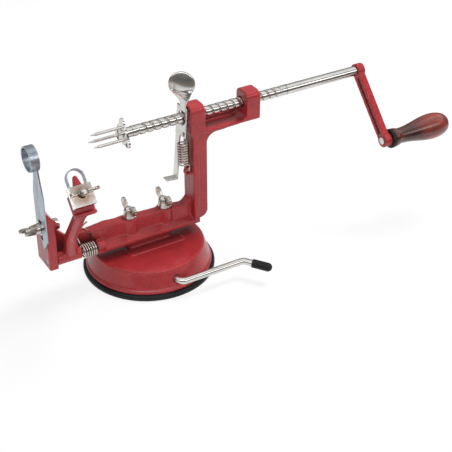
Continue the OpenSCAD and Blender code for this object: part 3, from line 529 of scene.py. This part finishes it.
def on_head(points):
    """Points given in millimetres on the arm's head, X along the shaft, Y up the slope and Z out of it,
    turned by the head's tilt and moved to its place."""
    cos, sin = math.cos(HEAD_TILT), math.sin(HEAD_TILT)
    turn = np.array([[1, 0, 0], [0, cos, -sin], [0, sin, cos]])
    return (HEAD_AT + points @ turn.T) * MM


def round_rows(*rows):
    """Rows of a turned length, each (along, radius)."""
    pairs = np.array(rows, float)
    return pairs[:, :1], pairs[:, 1:] + 0 * angles(BOLT_SIDES)


def hex_rows(start, end, corner_r):
    """Rows of a hexagon head with a chamfer: flats from the cosine of the angle within a sixth."""
    chamfer_share = 0.25
    half_side = TURN / 12
    flat_r = corner_r * math.cos(half_side)
    chamfer = chamfer_share * (end - start)
    sixth = np.mod(angles(BOLT_SIDES) + half_side, 2 * half_side) - half_side
    sides = flat_r / np.cos(sixth)
    along = np.array([[start], [start + chamfer], [end], [end]])
    limit = np.array([[flat_r], [corner_r], [corner_r], [corner_r]])
    return along, np.minimum(sides, limit)


def thread_rows(start, end, radius, pitch):
    """Rows of a thread: a triangle wave of the advance less the angle, which fades in over the first
    turn and is chamfered over the last."""
    rows_per_turn = 8
    depth_share = 0.55
    along = np.linspace(start, end, int(rows_per_turn * (end - start) / pitch))[:, None]
    wave = np.abs(2 * np.mod(along / pitch - angles(BOLT_SIDES) / TURN, 1) - 1)
    depth = depth_share * pitch * np.clip((along - start) / pitch, 0, 1)
    chamfer = np.clip(along - end + pitch, 0, None)
    return along, np.minimum(radius - depth * wave, radius - chamfer)


def bolt(blocks, origin, axis):
    """Bolt surface from blocks of rows along an axis that starts at the origin."""
    along = np.concatenate([block[0] for block in blocks])[..., None]
    radius = np.concatenate([block[1] for block in blocks])[..., None]
    axis = np.asarray(axis, float)
    side = np.cross(axis, (0, 1, 0))
    up = np.cross(axis, side)
    a = angles(BOLT_SIDES)[..., None]
    return origin + along * axis + radius * (np.cos(a) * side + np.sin(a) * up)


def soften(node, material, voxel, passes):
    """Rounds a CAD node's edges as casting does: a fine skin over it, smoothed."""
    obj = NODES[node]
    weld = obj.modifiers.new("weld", "WELD")
    weld.merge_threshold = MERGE
    skin = obj.modifiers.new("skin", "REMESH")
    skin.mode = "VOXEL"
    skin.voxel_size = voxel
    skin.use_smooth_shade = True
    smooth = obj.modifiers.new("smooth", "SMOOTH")
    smooth.factor = 0.5
    smooth.iterations = passes
    paint(node, material)


def paint(node, material):
    """Gives a CAD node one material."""
    materials = NODES[node].data.materials
    materials.clear()
    materials.append(material)


def bevelled(node, name, material, body, width):
    """Copy of a CAD node with its flats merged and its edges broken, in place of the node."""
    flat = math.radians(1)
    sharp = math.radians(35)
    mesh = bpy.data.meshes.new(name)
    shape = bmesh.new()
    shape.from_mesh(NODES[node].data)
    bmesh.ops.remove_doubles(shape, verts=shape.verts, dist=MERGE)
    bmesh.ops.dissolve_limit(shape, angle_limit=flat, verts=shape.verts, edges=shape.edges)
    shape.to_mesh(mesh)
    shape.free()
    mesh.shade_smooth()
    mesh.materials.append(material)
    obj = bpy.data.objects.new(name, mesh)
    bpy.context.scene.collection.objects.link(obj)
    bevel = obj.modifiers.new("bevel", "BEVEL")
    bevel.width = width
    bevel.segments = 2
    bevel.limit_method = "ANGLE"
    bevel.angle_limit = sharp
    normals = obj.modifiers.new("normals", "WEIGHTED_NORMAL")
    normals.keep_sharp = True
    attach(obj, body)
    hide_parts(node)


def finish(name):
    """The finish of that name, made once."""
    colours = bpy.context.scene.peeler_colours
    # Colours of the painted shade between the turns of the springs and the thread.
    black_gap_shade = (0.07, 0.06, 0.05, 1)
    brown_gap_shade = (0.3, 0.2, 0.13, 1)
    makers = {
        "red_enamel_frame": lambda: enamel(
            name, colours.enamel, pebble_depth=0.14 * MM, flecks=0.1, coat_weight=0.45, alone=False),
        "red_enamel_gloss": lambda: enamel(
            name, colours.enamel, pebble_depth=0.14 * MM, flecks=0.15, coat_weight=0.4, alone=True),
        "red_enamel_pebbled": lambda: enamel(
            name, shade(colours.enamel, 0.9), pebble_depth=0.6 * MM, flecks=0.35, coat_weight=0.2,
            alone=True),
        "bright_plating": lambda: plating(name, colours.steel, rough=0.03),
        "satin_plating": lambda: plating(name, colours.steel, rough=0.18),
        "dull_steel": lambda: plating(name, shade(colours.steel, 0.45), rough=0.1),
        "spring_steel": lambda: steel_shaded_between_turns(
            name, tint(colours.steel, 0.94, 0.84, 0.8), rough=0.08, gap_shade=black_gap_shade, shut=0.5,
            clear=0.85),
        "thread_steel": lambda: steel_shaded_between_turns(
            name, colours.steel, rough=0.03, gap_shade=brown_gap_shade, shut=0.72, clear=0.95),
        "cast_plating": lambda: cast_plating(name, colours.steel),
        "plating_painted_reflection": lambda: plating_painted_reflection(name, colours.steel),
        "ground_blade_steel": lambda: blade_steel(
            name, colours.blade, edge_y=middle("slicer_bolt")[1] - 1.5 * MM),
        "hoop_blade_steel": lambda: blade_steel(name, colours.blade, edge_y=middle("peel_blade")[1]),
        "black_rubber_satin": lambda: rubber(name, colours.rubber),
        "black_plastic_satin": lambda: rubber(name, shade(colours.rubber, 1.3)),
        "stained_wood": lambda: stained_wood(name, colours.wood),
    }
    return bpy.data.materials.get(name) or makers[name]()


class PEELER_OT_castings(bpy.types.Operator):
    """Rounds and enamels the cast pieces"""

    bl_idname = "peeler.castings"
    bl_label = "Castings"

    def execute(self, context):
        passes = context.scene.peeler_sizes.cast_edge
        soften("frame_casting", finish("red_enamel_frame"), voxel=0.55 * MM, passes=passes)
        soften("base_shell", finish("red_enamel_frame"), voxel=0.58 * MM, passes=passes // 3)
        soften("crank_arm", finish("red_enamel_pebbled"), voxel=0.4 * MM, passes=passes)
        soften("peel_arm", finish("red_enamel_gloss"), voxel=0.45 * MM, passes=2 * passes)
        return {"FINISHED"}


class PEELER_OT_wing_nuts(bpy.types.Operator):
    """Rounds and plates the wing nuts"""

    bl_idname = "peeler.wing_nuts"
    bl_label = "Wing nuts"

    def execute(self, context):
        cast = finish("cast_plating")
        for node in ("base_wing_nut_left", "base_wing_nut_right", "clamp_wing_nut", "slicer_wing_nut"):
            soften(node, cast, voxel=0.25 * MM, passes=5)
        return {"FINISHED"}


class PEELER_OT_feed_shaft(bpy.types.Operator):
    """Turns the feed shaft with its thread"""

    bl_idname = "peeler.feed_shaft"
    bl_label = "Feed shaft"

    def execute(self, context):
        sizes = context.scene.peeler_sizes
        start_x, end_x = reach("feed_shaft", 0)
        ring_x, ring_end_x = reach("snap_ring", 0)
        fork_end_x = reach("fork_plate", 0)[1]
        sides = 72
        thread_steps = 640
        ring_gap = 0.15 * MM
        shoulder = 0.25 * MM
        spigot_r = 3.2 * MM
        tip_r = sizes.shaft_r - 0.3 * MM
        plain_r = sizes.shaft_r - 0.1 * MM
        plain_x = ring_end_x + ring_gap
        thread_end_x = ring_x - ring_gap
        thread_x = thread_end_x - sizes.lead * (sizes.groove_turns + 0.5)
        thread_along = np.linspace(thread_x + shoulder, thread_end_x - shoulder, thread_steps)
        before = [
            (start_x, spigot_r), (fork_end_x, spigot_r), (fork_end_x, tip_r), (thread_x, tip_r)]
        after = [
            (thread_end_x, spigot_r), (plain_x, spigot_r), (plain_x, plain_r - shoulder),
            (plain_x + shoulder, plain_r), (end_x, plain_r)]
        threaded = np.stack([thread_along, np.full_like(thread_along, sizes.shaft_r)], 1)
        profile = np.concatenate([before, threaded, after])
        points = turned(profile, (0, 0, middle("snap_ring")[2]), sides)
        rows = slice(len(before), len(before) + thread_steps)
        points[rows] = self.cut_groove(points[rows], sizes, thread_x)
        piece("feed_shaft_turned", [surface(points)], finish("thread_steel"),
              "crankshaft", "feed_shaft")
        return {"FINISHED"}

    def cut_groove(self, points, sizes, thread_x):
        """Draws points in towards the axis: along the helix where the angle and the advance agree,
        by the groove's depth with rounded flanks, and a little at the crests' shoulders.
        Both fade over the first and last turn."""
        axis_z = middle("snap_ring")[2]
        run_in = 0.4 * MM
        flank_share = 0.45
        shoulder_depth = 0.12 * MM
        angle = np.mod(np.arctan2(points[..., 2] - axis_z, points[..., 1]), TURN) / TURN
        advance = (points[..., 0] - thread_x - run_in) / sizes.lead - angle
        place = np.mod(advance, 1) * sizes.lead / sizes.groove_w
        turn = np.floor(advance) + angle
        fade = np.clip(turn, 0, 1) * np.clip(sizes.groove_turns - turn, 0, 1)
        side = np.clip((1 - np.abs(2 * place - 1)) / flank_share, 0, 1)
        groove = sizes.groove_depth * side * side * (3 - 2 * side)
        crest_w = sizes.lead - sizes.groove_w
        crest = np.clip((place - 1) * sizes.groove_w / crest_w, 0, 1)
        crown = shoulder_depth * (2 * crest - 1) ** 4 * (place > 1)
        depth = fade * (groove + crown)
        scale = 1 - depth / sizes.shaft_r
        points[..., 1] *= scale
        points[..., 2] = axis_z + (points[..., 2] - axis_z) * scale
        return points


class PEELER_OT_springs(bpy.types.Operator):
    """Winds the release spring and the arm spring"""

    bl_idname = "peeler.springs"
    bl_label = "Springs"

    def execute(self, context):
        self.wind_release_spring(context.scene.peeler_sizes.release_wire)
        self.wind_arm_spring(context.scene.peeler_sizes.arm_wire)
        return {"FINISHED"}

    def wind_release_spring(self, radius):
        """Helix from the lever's hole to the column's eye, with a hook at each end."""
        turns = 9
        coil_r = 4.2
        hole = np.array([33.352, -4, 112.589])
        eye = np.array([35.8, -4, 79])
        top = hole + [-1.35, 0, -7.1]
        low = eye + [-3.3, 0, 6.5]
        axis = (low - top) / np.linalg.norm(low - top)
        across = np.cross(axis, [0, 1, 0])
        across /= np.linalg.norm(across)
        side = np.cross(axis, across)
        t = np.linspace(0, 1, COIL_STEPS * turns + 1)[:, None]
        angle = TURN * turns * t
        coil = top + (low - top) * t + coil_r * (np.cos(angle) * across + np.sin(angle) * side)
        beside = 2.45
        upper = through([
            hole + [-2.6, 0, 0.2], hole + [-0.5, 0, 0.3], hole + [1.8, 0, -1.6],
            top + coil_r * across + [-0.3, 1.6, 1.3], coil[0]])[:-1]
        lower = through([
            coil[-1], low + coil_r * across + [-0.2, -beside, -1.4], eye + [0, -beside - 0.1, 2.6],
            eye + [0, 0.3 - beside, 0.6], eye + [0, -0.9, 0], eye + [0, beside, 0]])[1:]
        path = np.concatenate([upper, coil, lower]) * MM
        obj = piece("release_spring_wire", [surface(wire(path, radius, aside=(0.5, 0.1, 0.86)))],
                    finish("spring_steel"), None, "release_spring")
        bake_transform(obj)

    def wind_arm_spring(self, radius):
        """Helix round the arm's pivot, with one end on the bed and the other up the arm."""
        turns = 6
        coil_r = 5.6
        pivot_y, pivot_z = -8.5, 37.8
        x0, x1 = -61.5, -50.2
        start = math.radians(60)
        t = np.linspace(0, 1, COIL_STEPS * turns + 1)
        angle = start + TURN * turns * t
        coil = np.stack([
            x0 + (x1 - x0) * t, pivot_y + coil_r * np.cos(angle), pivot_z + coil_r * np.sin(angle)], 1)
        foot = through([
            [x0 - 0.1, -1.6, pivot_z + 7.6], [x0 - 0.1, -3.4, pivot_z + 6.6], coil[0]])[:-1]
        touch = np.array([-67.9, -27.5, 72.6])
        leg = through([
            coil[-1], [x1 - 0.6, pivot_y - 0.6, pivot_z + 10.5], touch + [11, 11.5, -14],
            touch + [3.2, 3.6, -4.4], touch, touch + [1, -1.8, 3], touch + [3.4, -3, 5.6]])[1:]
        path = np.concatenate([foot, coil, leg]) * MM
        obj = piece("arm_spring_wire", [surface(wire(path, radius, aside=(0.86, 0.4, 0.1)))],
                    finish("spring_steel"), None, "arm_spring")
        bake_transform(obj)


class PEELER_OT_handle(bpy.types.Operator):
    """Turns the wooden handle and its collar"""

    bl_idname = "peeler.handle"
    bl_label = "Handle"

    def execute(self, context):
        x0, x1 = reach("wood_handle", 0)
        centre = middle("wood_handle") * (0, 1, 1)
        low_y, high_y = reach("wood_handle", 1)
        belly_r = (high_y - low_y) / 2
        sides = 96
        profile = self.outline(belly_r, x1 - x0)
        profile[:, 0] += x0
        piece("wood_handle_turned", [surface(turned(profile, centre, sides), wrap_rows=True)],
              finish("stained_wood"), "handle", "wood_handle")
        bevelled("handle_collar", "handle_collar_turned", finish("black_plastic_satin"),
                 "crankshaft", width=0.7 * MM)
        return {"FINISHED"}

    def outline(self, belly_r, length):
        """Closed half section: foot bead, waisted neck, cosine belly and round tail outside,
        then the rivet's recess and bore inside."""
        bore_r, recess_r, recess_l = 2.55 * MM, 4.3 * MM, 3.3 * MM
        foot_r, neck_r, tail_r = 8 * MM, 6.8 * MM, 4.6 * MM
        edge, bead_x, bead_drop = 0.6 * MM, 1.7 * MM, 0.1 * MM
        neck_x, dome_l = 8 * MM, 15.4 * MM
        steps = 24
        bead_r = foot_r - bead_drop
        waist_r = neck_r - bead_drop
        belly_x = length - dome_l
        recess_x = length - recess_l
        u = np.linspace(0, 1, steps)[1:, None]
        ease = (1 - np.cos(math.pi * u)) / 2
        foot = np.array([[0, bore_r], [0, foot_r - edge], [edge, foot_r], [bead_x, bead_r]])
        neck = np.hstack([bead_x + (neck_x - bead_x) * u, bead_r + (waist_r - bead_r) * ease])
        belly = np.hstack([neck_x + (belly_x - neck_x) * u, waist_r + (belly_r - waist_r) * ease])
        quarter = u * math.pi / 2
        dome = np.hstack([
            belly_x + dome_l * np.sin(quarter), tail_r + (belly_r - tail_r) * np.cos(quarter)])
        inside = np.array([[length, recess_r], [recess_x, recess_r], [recess_x, bore_r]])
        return np.concatenate([foot, neck, belly, dome, inside])


class PEELER_OT_suction_pad(bpy.types.Operator):
    """Moulds the rubber suction pad"""

    bl_idname = "peeler.suction_pad"
    bl_label = "Suction pad"

    def execute(self, context):
        pad_r = reach("suction_pad", 1)[1] / MM
        pad_h = reach("suction_pad", 2)[1] / MM
        lip_r = reach("base_shell", 0)[1] / MM
        eye_r, eye_h = 0.4, 1.4
        dish_r, dish_h = 29.7, 1.2
        ring_w, foot_w, foot_h = 9.7, 0.4, 1.2
        rim, seat_w = 1.4, 7
        hollow_w, hollow_r, hollow_h = 8, 16, 3.4
        hub_r, hub_drop = 14, 0.2
        corner_r, sides = 1.1, 160
        section = np.array([
            [eye_h, eye_r], [dish_h, dish_r], [0, pad_r - ring_w], [0, pad_r - foot_w], [foot_h, pad_r],
            [pad_h - rim, pad_r], [pad_h, pad_r - rim], [pad_h, lip_r - seat_w],
            [hollow_h, lip_r - hollow_w], [hollow_h, hollow_r], [pad_h - hub_drop, hub_r],
            [pad_h - hub_drop, eye_r]])
        profile = rounded(section, corner_r) * MM
        moulded = turned(profile, (0, 0, 0), sides, axis=2)
        piece("suction_pad_moulded", [surface(moulded, wrap_rows=True)],
              finish("black_rubber_satin"), "frame", "suction_pad")
        return {"FINISHED"}


class PEELER_OT_bolts(bpy.types.Operator):
    """Turns the threaded bolts and the clamp's stud"""

    bl_idname = "peeler.bolts"
    bl_label = "Bolts"

    def execute(self, context):
        bright = finish("bright_plating")
        self.turn_base_bolts(bright)
        self.turn_slicer_bolt(bright)
        self.turn_clamp_stud(bright)
        return {"FINISHED"}

    def turn_base_bolts(self, material):
        """Two round headed bolts up through the base, threaded from just under their nuts."""
        bolt_r, head_r, head_h = 3 * MM, 5.5 * MM, 2.6 * MM
        edge, under_nut, pitch = 0.4 * MM, 2 * MM, 1 * MM
        low_z, high_z = reach("base_bolts", 2)
        seat_z = reach("base_wing_nut_left", 2)[0]
        blocks = [
            round_rows((0, head_r - edge), (edge, head_r), (head_h, head_r), (head_h, bolt_r)),
            thread_rows(seat_z - low_z - under_nut, high_z - low_z, bolt_r, pitch)]
        nuts = ("base_wing_nut_left", "base_wing_nut_right")
        places = [middle(nut) * (1, 1, 0) + (0, 0, low_z) for nut in nuts]
        piece("base_bolts_threaded", [surface(bolt(blocks, at, (0, 0, 1))) for at in places], material,
              "frame", "base_bolts")

    def turn_slicer_bolt(self, material):
        """Hexagon headed bolt out through the end plate."""
        bolt_r, head_r, head_t = 2.5 * MM, 4.6 * MM, 3.2 * MM
        in_plate, pitch = 1 * MM, 0.8 * MM
        low_x, high_x = reach("slicer_bolt", 0)
        plate_x = reach("frame_casting", 0)[0]
        blocks = [
            hex_rows(0, head_t, head_r), round_rows((head_t, bolt_r)),
            thread_rows(high_x - plate_x - in_plate, high_x - low_x, bolt_r, pitch)]
        at = middle("slicer_bolt") * (0, 1, 1) + (high_x, 0, 0)
        piece("slicer_bolt_threaded", [surface(bolt(blocks, at, (-1, 0, 0)))], material,
              "frame", "slicer_bolt")

    def turn_clamp_stud(self, material):
        """Stud that stands out of the arm's head, worked out in millimetres on the head."""
        stud_r, stud_y, stud_low, stud_high = 2, 2.8, -6, 8
        edge, thread_low, pitch = 0.3, 1, 0.7
        blocks = [
            round_rows((0, stud_r - edge), (edge, stud_r)),
            thread_rows(thread_low - stud_low, stud_high - stud_low, stud_r, pitch)]
        stud = on_head(bolt(blocks, np.array([0, stud_y, stud_low]), (0, 0, 1)))
        piece("clamp_stud_threaded", [surface(stud)], material,
              "swing_arm", "clamp_stud")


class PEELER_OT_sheet_metal(bpy.types.Operator):
    """Breaks the edges of the sheet metal pieces"""

    bl_idname = "peeler.sheet_metal"
    bl_label = "Sheet metal"

    def execute(self, context):
        bevelled("slicer_blade", "slicer_blade_ground", finish("ground_blade_steel"),
                 "slicer", width=0.25 * MM)
        bevelled("peel_blade", "peel_blade_ground", finish("hoop_blade_steel"),
                 "swing_arm", width=0.2 * MM)
        bevelled("blade_clamp", "blade_clamp_pressed", finish("plating_painted_reflection"),
                 "swing_arm", width=0.2 * MM)
        bevelled("fork_plate", "fork_plate_pressed", finish("bright_plating"),
                 "crankshaft", width=0.3 * MM)
        soften("release_lever", finish("satin_plating"), voxel=0.3 * MM, passes=28)
        return {"FINISHED"}


class PEELER_OT_small_parts(bpy.types.Operator):
    """Finishes the rods, pins, rings, prongs, washer and grip"""

    bl_idname = "peeler.small_parts"
    bl_label = "Small parts"

    def execute(self, context):
        bright = finish("bright_plating")
        for node in (
                "pad_stud", "suction_lever", "lever_clip", "snap_ring", "fork_prongs", "handle_spindle",
                "slicer_washer"):
            paint(node, bright)
        paint("arm_pivot_pin", finish("dull_steel"))
        paint("crank_pin", finish("cast_plating"))
        paint("lever_grip", finish("black_plastic_satin"))
        return {"FINISHED"}


# Upright cards that only gloss mirrors: two opposite corners and the glow of each
CARDS = {
    "front_bar": ((-2.5, -1.6, 1.95), (3.5, -1.6, 2.9), 0.05),
    "glint_strip": ((-1.5, -1.6, 0.9), (3.0, -1.6, 1.15), 4),
    "back_card": ((-1.0, 1.6, 0.75), (3.0, 1.6, 3.4), 0.5),
    "left_card": ((-1.3, -0.6, 0.0), (-0.05, -1.4, 0.95), 0.12),
    "left_strip": ((-1.3, -0.6, 1.05), (-0.05, -1.4, 1.35), 4),
}


class PEELER_OT_stage(bpy.types.Operator):
    """Sets the floor, light and camera"""

    bl_idname = "peeler.stage"
    bl_label = "Stage"

    def execute(self, context):
        stage = context.scene.peeler_stage
        context.scene.view_settings.view_transform = "Standard"
        self.lay_floor()
        self.light_world(context.scene, stage.ambient)
        key_at, key_size = (0.75, 0.15, 1.4), 0.6
        fill_at, fill_size = (-0.5, -1.3, 0.9), 1.2
        self.hang_light("key_light", key_at, key_size, stage.key)
        self.hang_light("fill_light", fill_at, fill_size, stage.fill)
        self.hang_surround()
        for name, (low, high, glow) in CARDS.items():
            self.hang_card(name, low, high, glow)
        self.set_camera(context.scene, stage)
        return {"FINISHED"}

    def hang_surround(self):
        """Dark floor and low wall round a pale table, mirrored in bright metal as a dark horizon."""
        hole_r, wall_r, wall_h = 0.06, 1.7, 0.7
        table_x, table_y = (-0.6, 0.6), (-0.29, 0.45)
        dark, dark_glow = (0.17, 0.15, 0.135, 1), 1
        table_glow = 0.85
        lift = 0.2 * MM
        sides = 64
        profile = np.array([[lift, hole_r], [lift, wall_r], [wall_h, wall_r]])
        points = turned(profile, (0, 0, 0), sides, axis=2)
        faces = grid_faces(*points.shape[:2], wrap_rows=False).tolist()
        self.mirror_only("surround", points.reshape(-1, 3), faces, dark_glow, dark)
        corners = [(x, y, 2 * lift) for y in table_y for x in table_x]
        self.mirror_only("table", corners, [(0, 1, 3, 2)], table_glow)

    def hang_card(self, name, low, high, glow):
        """Upright card between two opposite corners."""
        corners = [low, (high[0], high[1], low[2]), high, (low[0], low[1], high[2])]
        self.mirror_only(name, corners, [(0, 1, 2, 3)], glow)

    def mirror_only(self, name, points, faces, glow, colour=WHITE):
        """Stage surface that shows only in reflections."""
        mesh = bpy.data.meshes.new(name)
        mesh.from_pydata(points, [], faces)
        card = bpy.data.objects.new(name, mesh)
        bpy.context.scene.collection.objects.link(card)
        material, w = new_material(name)
        emission = w.node("ShaderNodeEmission", None, {"Color": colour, "Strength": glow})
        w.node("ShaderNodeOutputMaterial", None, {"Surface": emission})
        mesh.materials.append(material)
        card.visible_camera = False
        card.visible_diffuse = False
        card.visible_transmission = False
        card.visible_shadow = False

    def seen(self, w):
        """One where a ray comes from the camera, a gloss or a clear surface, and nought for light."""
        ray = w.node("ShaderNodeLightPath", output="Is Camera Ray")
        node = ray.socket.node
        glossy = Value(w, node.outputs["Is Glossy Ray"])
        clear = Value(w, node.outputs["Is Transmission Ray"])
        return ray.math("MAXIMUM", ray, ray.math("MAXIMUM", glossy, clear))

    def lay_floor(self):
        """Wide pale plane just under the pad, white to the camera but for a faint shadow."""
        half = 6.0
        depth = -0.2 * MM
        paper_grey = (0.86, 0.86, 0.86, 1)
        white_share = 0.85
        corners = [
            (-half, -half, depth), (half, -half, depth), (half, half, depth), (-half, half, depth)]
        mesh = bpy.data.meshes.new("floor")
        mesh.from_pydata(corners, [], [(0, 1, 2, 3)])
        floor = bpy.data.objects.new("floor", mesh)
        bpy.context.scene.collection.objects.link(floor)
        material, w = new_material("pale_floor")
        white = w.node("ShaderNodeEmission", None, {"Color": WHITE, "Strength": 1})
        paper = w.node("ShaderNodeBsdfDiffuse", None, {"Color": paper_grey})
        mixed = w.node("ShaderNodeMixShader", None, {0: white_share * self.seen(w), 1: paper, 2: white})
        w.node("ShaderNodeOutputMaterial", None, {"Surface": mixed})
        mesh.materials.append(material)

    def light_world(self, scene, ambient):
        """Even white light, at full white where it is seen."""
        world = bpy.data.worlds.new("studio")
        world.use_nodes = True
        scene.world = world
        w = Wiring(world.node_tree)
        strength = ambient + (1 - ambient) * self.seen(w)
        back = w.node("ShaderNodeBackground", None, {"Color": WHITE, "Strength": strength})
        w.node("ShaderNodeOutputWorld", None, {"Surface": back})

    def hang_light(self, name, at, size, power):
        """Square soft light that faces the middle of the object and isn't mirrored in gloss."""
        lamp = bpy.data.lights.new(name, "AREA")
        lamp.shape = "SQUARE"
        lamp.size = size
        lamp.energy = power
        obj = bpy.data.objects.new(name, lamp)
        bpy.context.scene.collection.objects.link(obj)
        aim = middle("frame_casting") - np.array(at)
        obj.location = at
        obj.visible_glossy = False
        pitch = math.atan2(math.hypot(aim[0], aim[1]), -aim[2])
        obj.rotation_euler = (pitch, 0, math.atan2(-aim[0], aim[1]))

    def set_camera(self, scene, stage):
        """Camera at the photograph's place and angle."""
        data = bpy.data.cameras.new("camera")
        data.sensor_fit = "HORIZONTAL"
        data.sensor_width = SENSOR_W
        data.lens = stage.lens
        camera = bpy.data.objects.new("camera", data)
        scene.collection.objects.link(camera)
        camera.location = stage.camera_at
        camera.rotation_euler = (math.pi / 2 - stage.drop, 0, -stage.yaw)
        scene.camera = camera


class PEELER_PT_panel(bpy.types.Panel):
    """Sidebar panel with the sizes, colours, stage settings and steps"""

    bl_idname = "PEELER_PT_panel"
    bl_label = "Hand cranked peeler"
    bl_space_type = "VIEW_3D"
    bl_region_type = "UI"
    bl_category = "Peeler"

    def draw(self, context):
        for holder, kind in GROUPS.items():
            group = getattr(context.scene, holder)
            for name in kind.__annotations__:
                self.layout.prop(group, name)
        for step in STEPS:
            self.layout.operator(step.bl_idname)


GROUPS = {"peeler_sizes": PeelerSizes, "peeler_colours": PeelerColours, "peeler_stage": PeelerStage}
STEPS = (
    PEELER_OT_stage, PEELER_OT_castings, PEELER_OT_wing_nuts, PEELER_OT_feed_shaft, PEELER_OT_springs,
    PEELER_OT_handle, PEELER_OT_suction_pad, PEELER_OT_bolts, PEELER_OT_sheet_metal,
    PEELER_OT_small_parts)


def register():
    """Registers the groups of settings, the steps and the panel."""
    for name, group in GROUPS.items():
        bpy.utils.register_class(group)
        setattr(bpy.types.Scene, name, PointerProperty(type=group))
    for cls in STEPS + (PEELER_PT_panel,):
        bpy.utils.register_class(cls)


def unregister():
    """Takes them away again, in the opposite order."""
    for cls in (PEELER_PT_panel,) + STEPS[::-1]:
        bpy.utils.unregister_class(cls)
    for name, group in reversed(GROUPS.items()):
        delattr(bpy.types.Scene, name)
        bpy.utils.unregister_class(group)


def main():
    """Runs every step in order."""
    register()
    for step in STEPS:
        group, name = step.bl_idname.split(".")
        getattr(getattr(bpy.ops, group), name)()


if __name__ == "__main__":
    main()
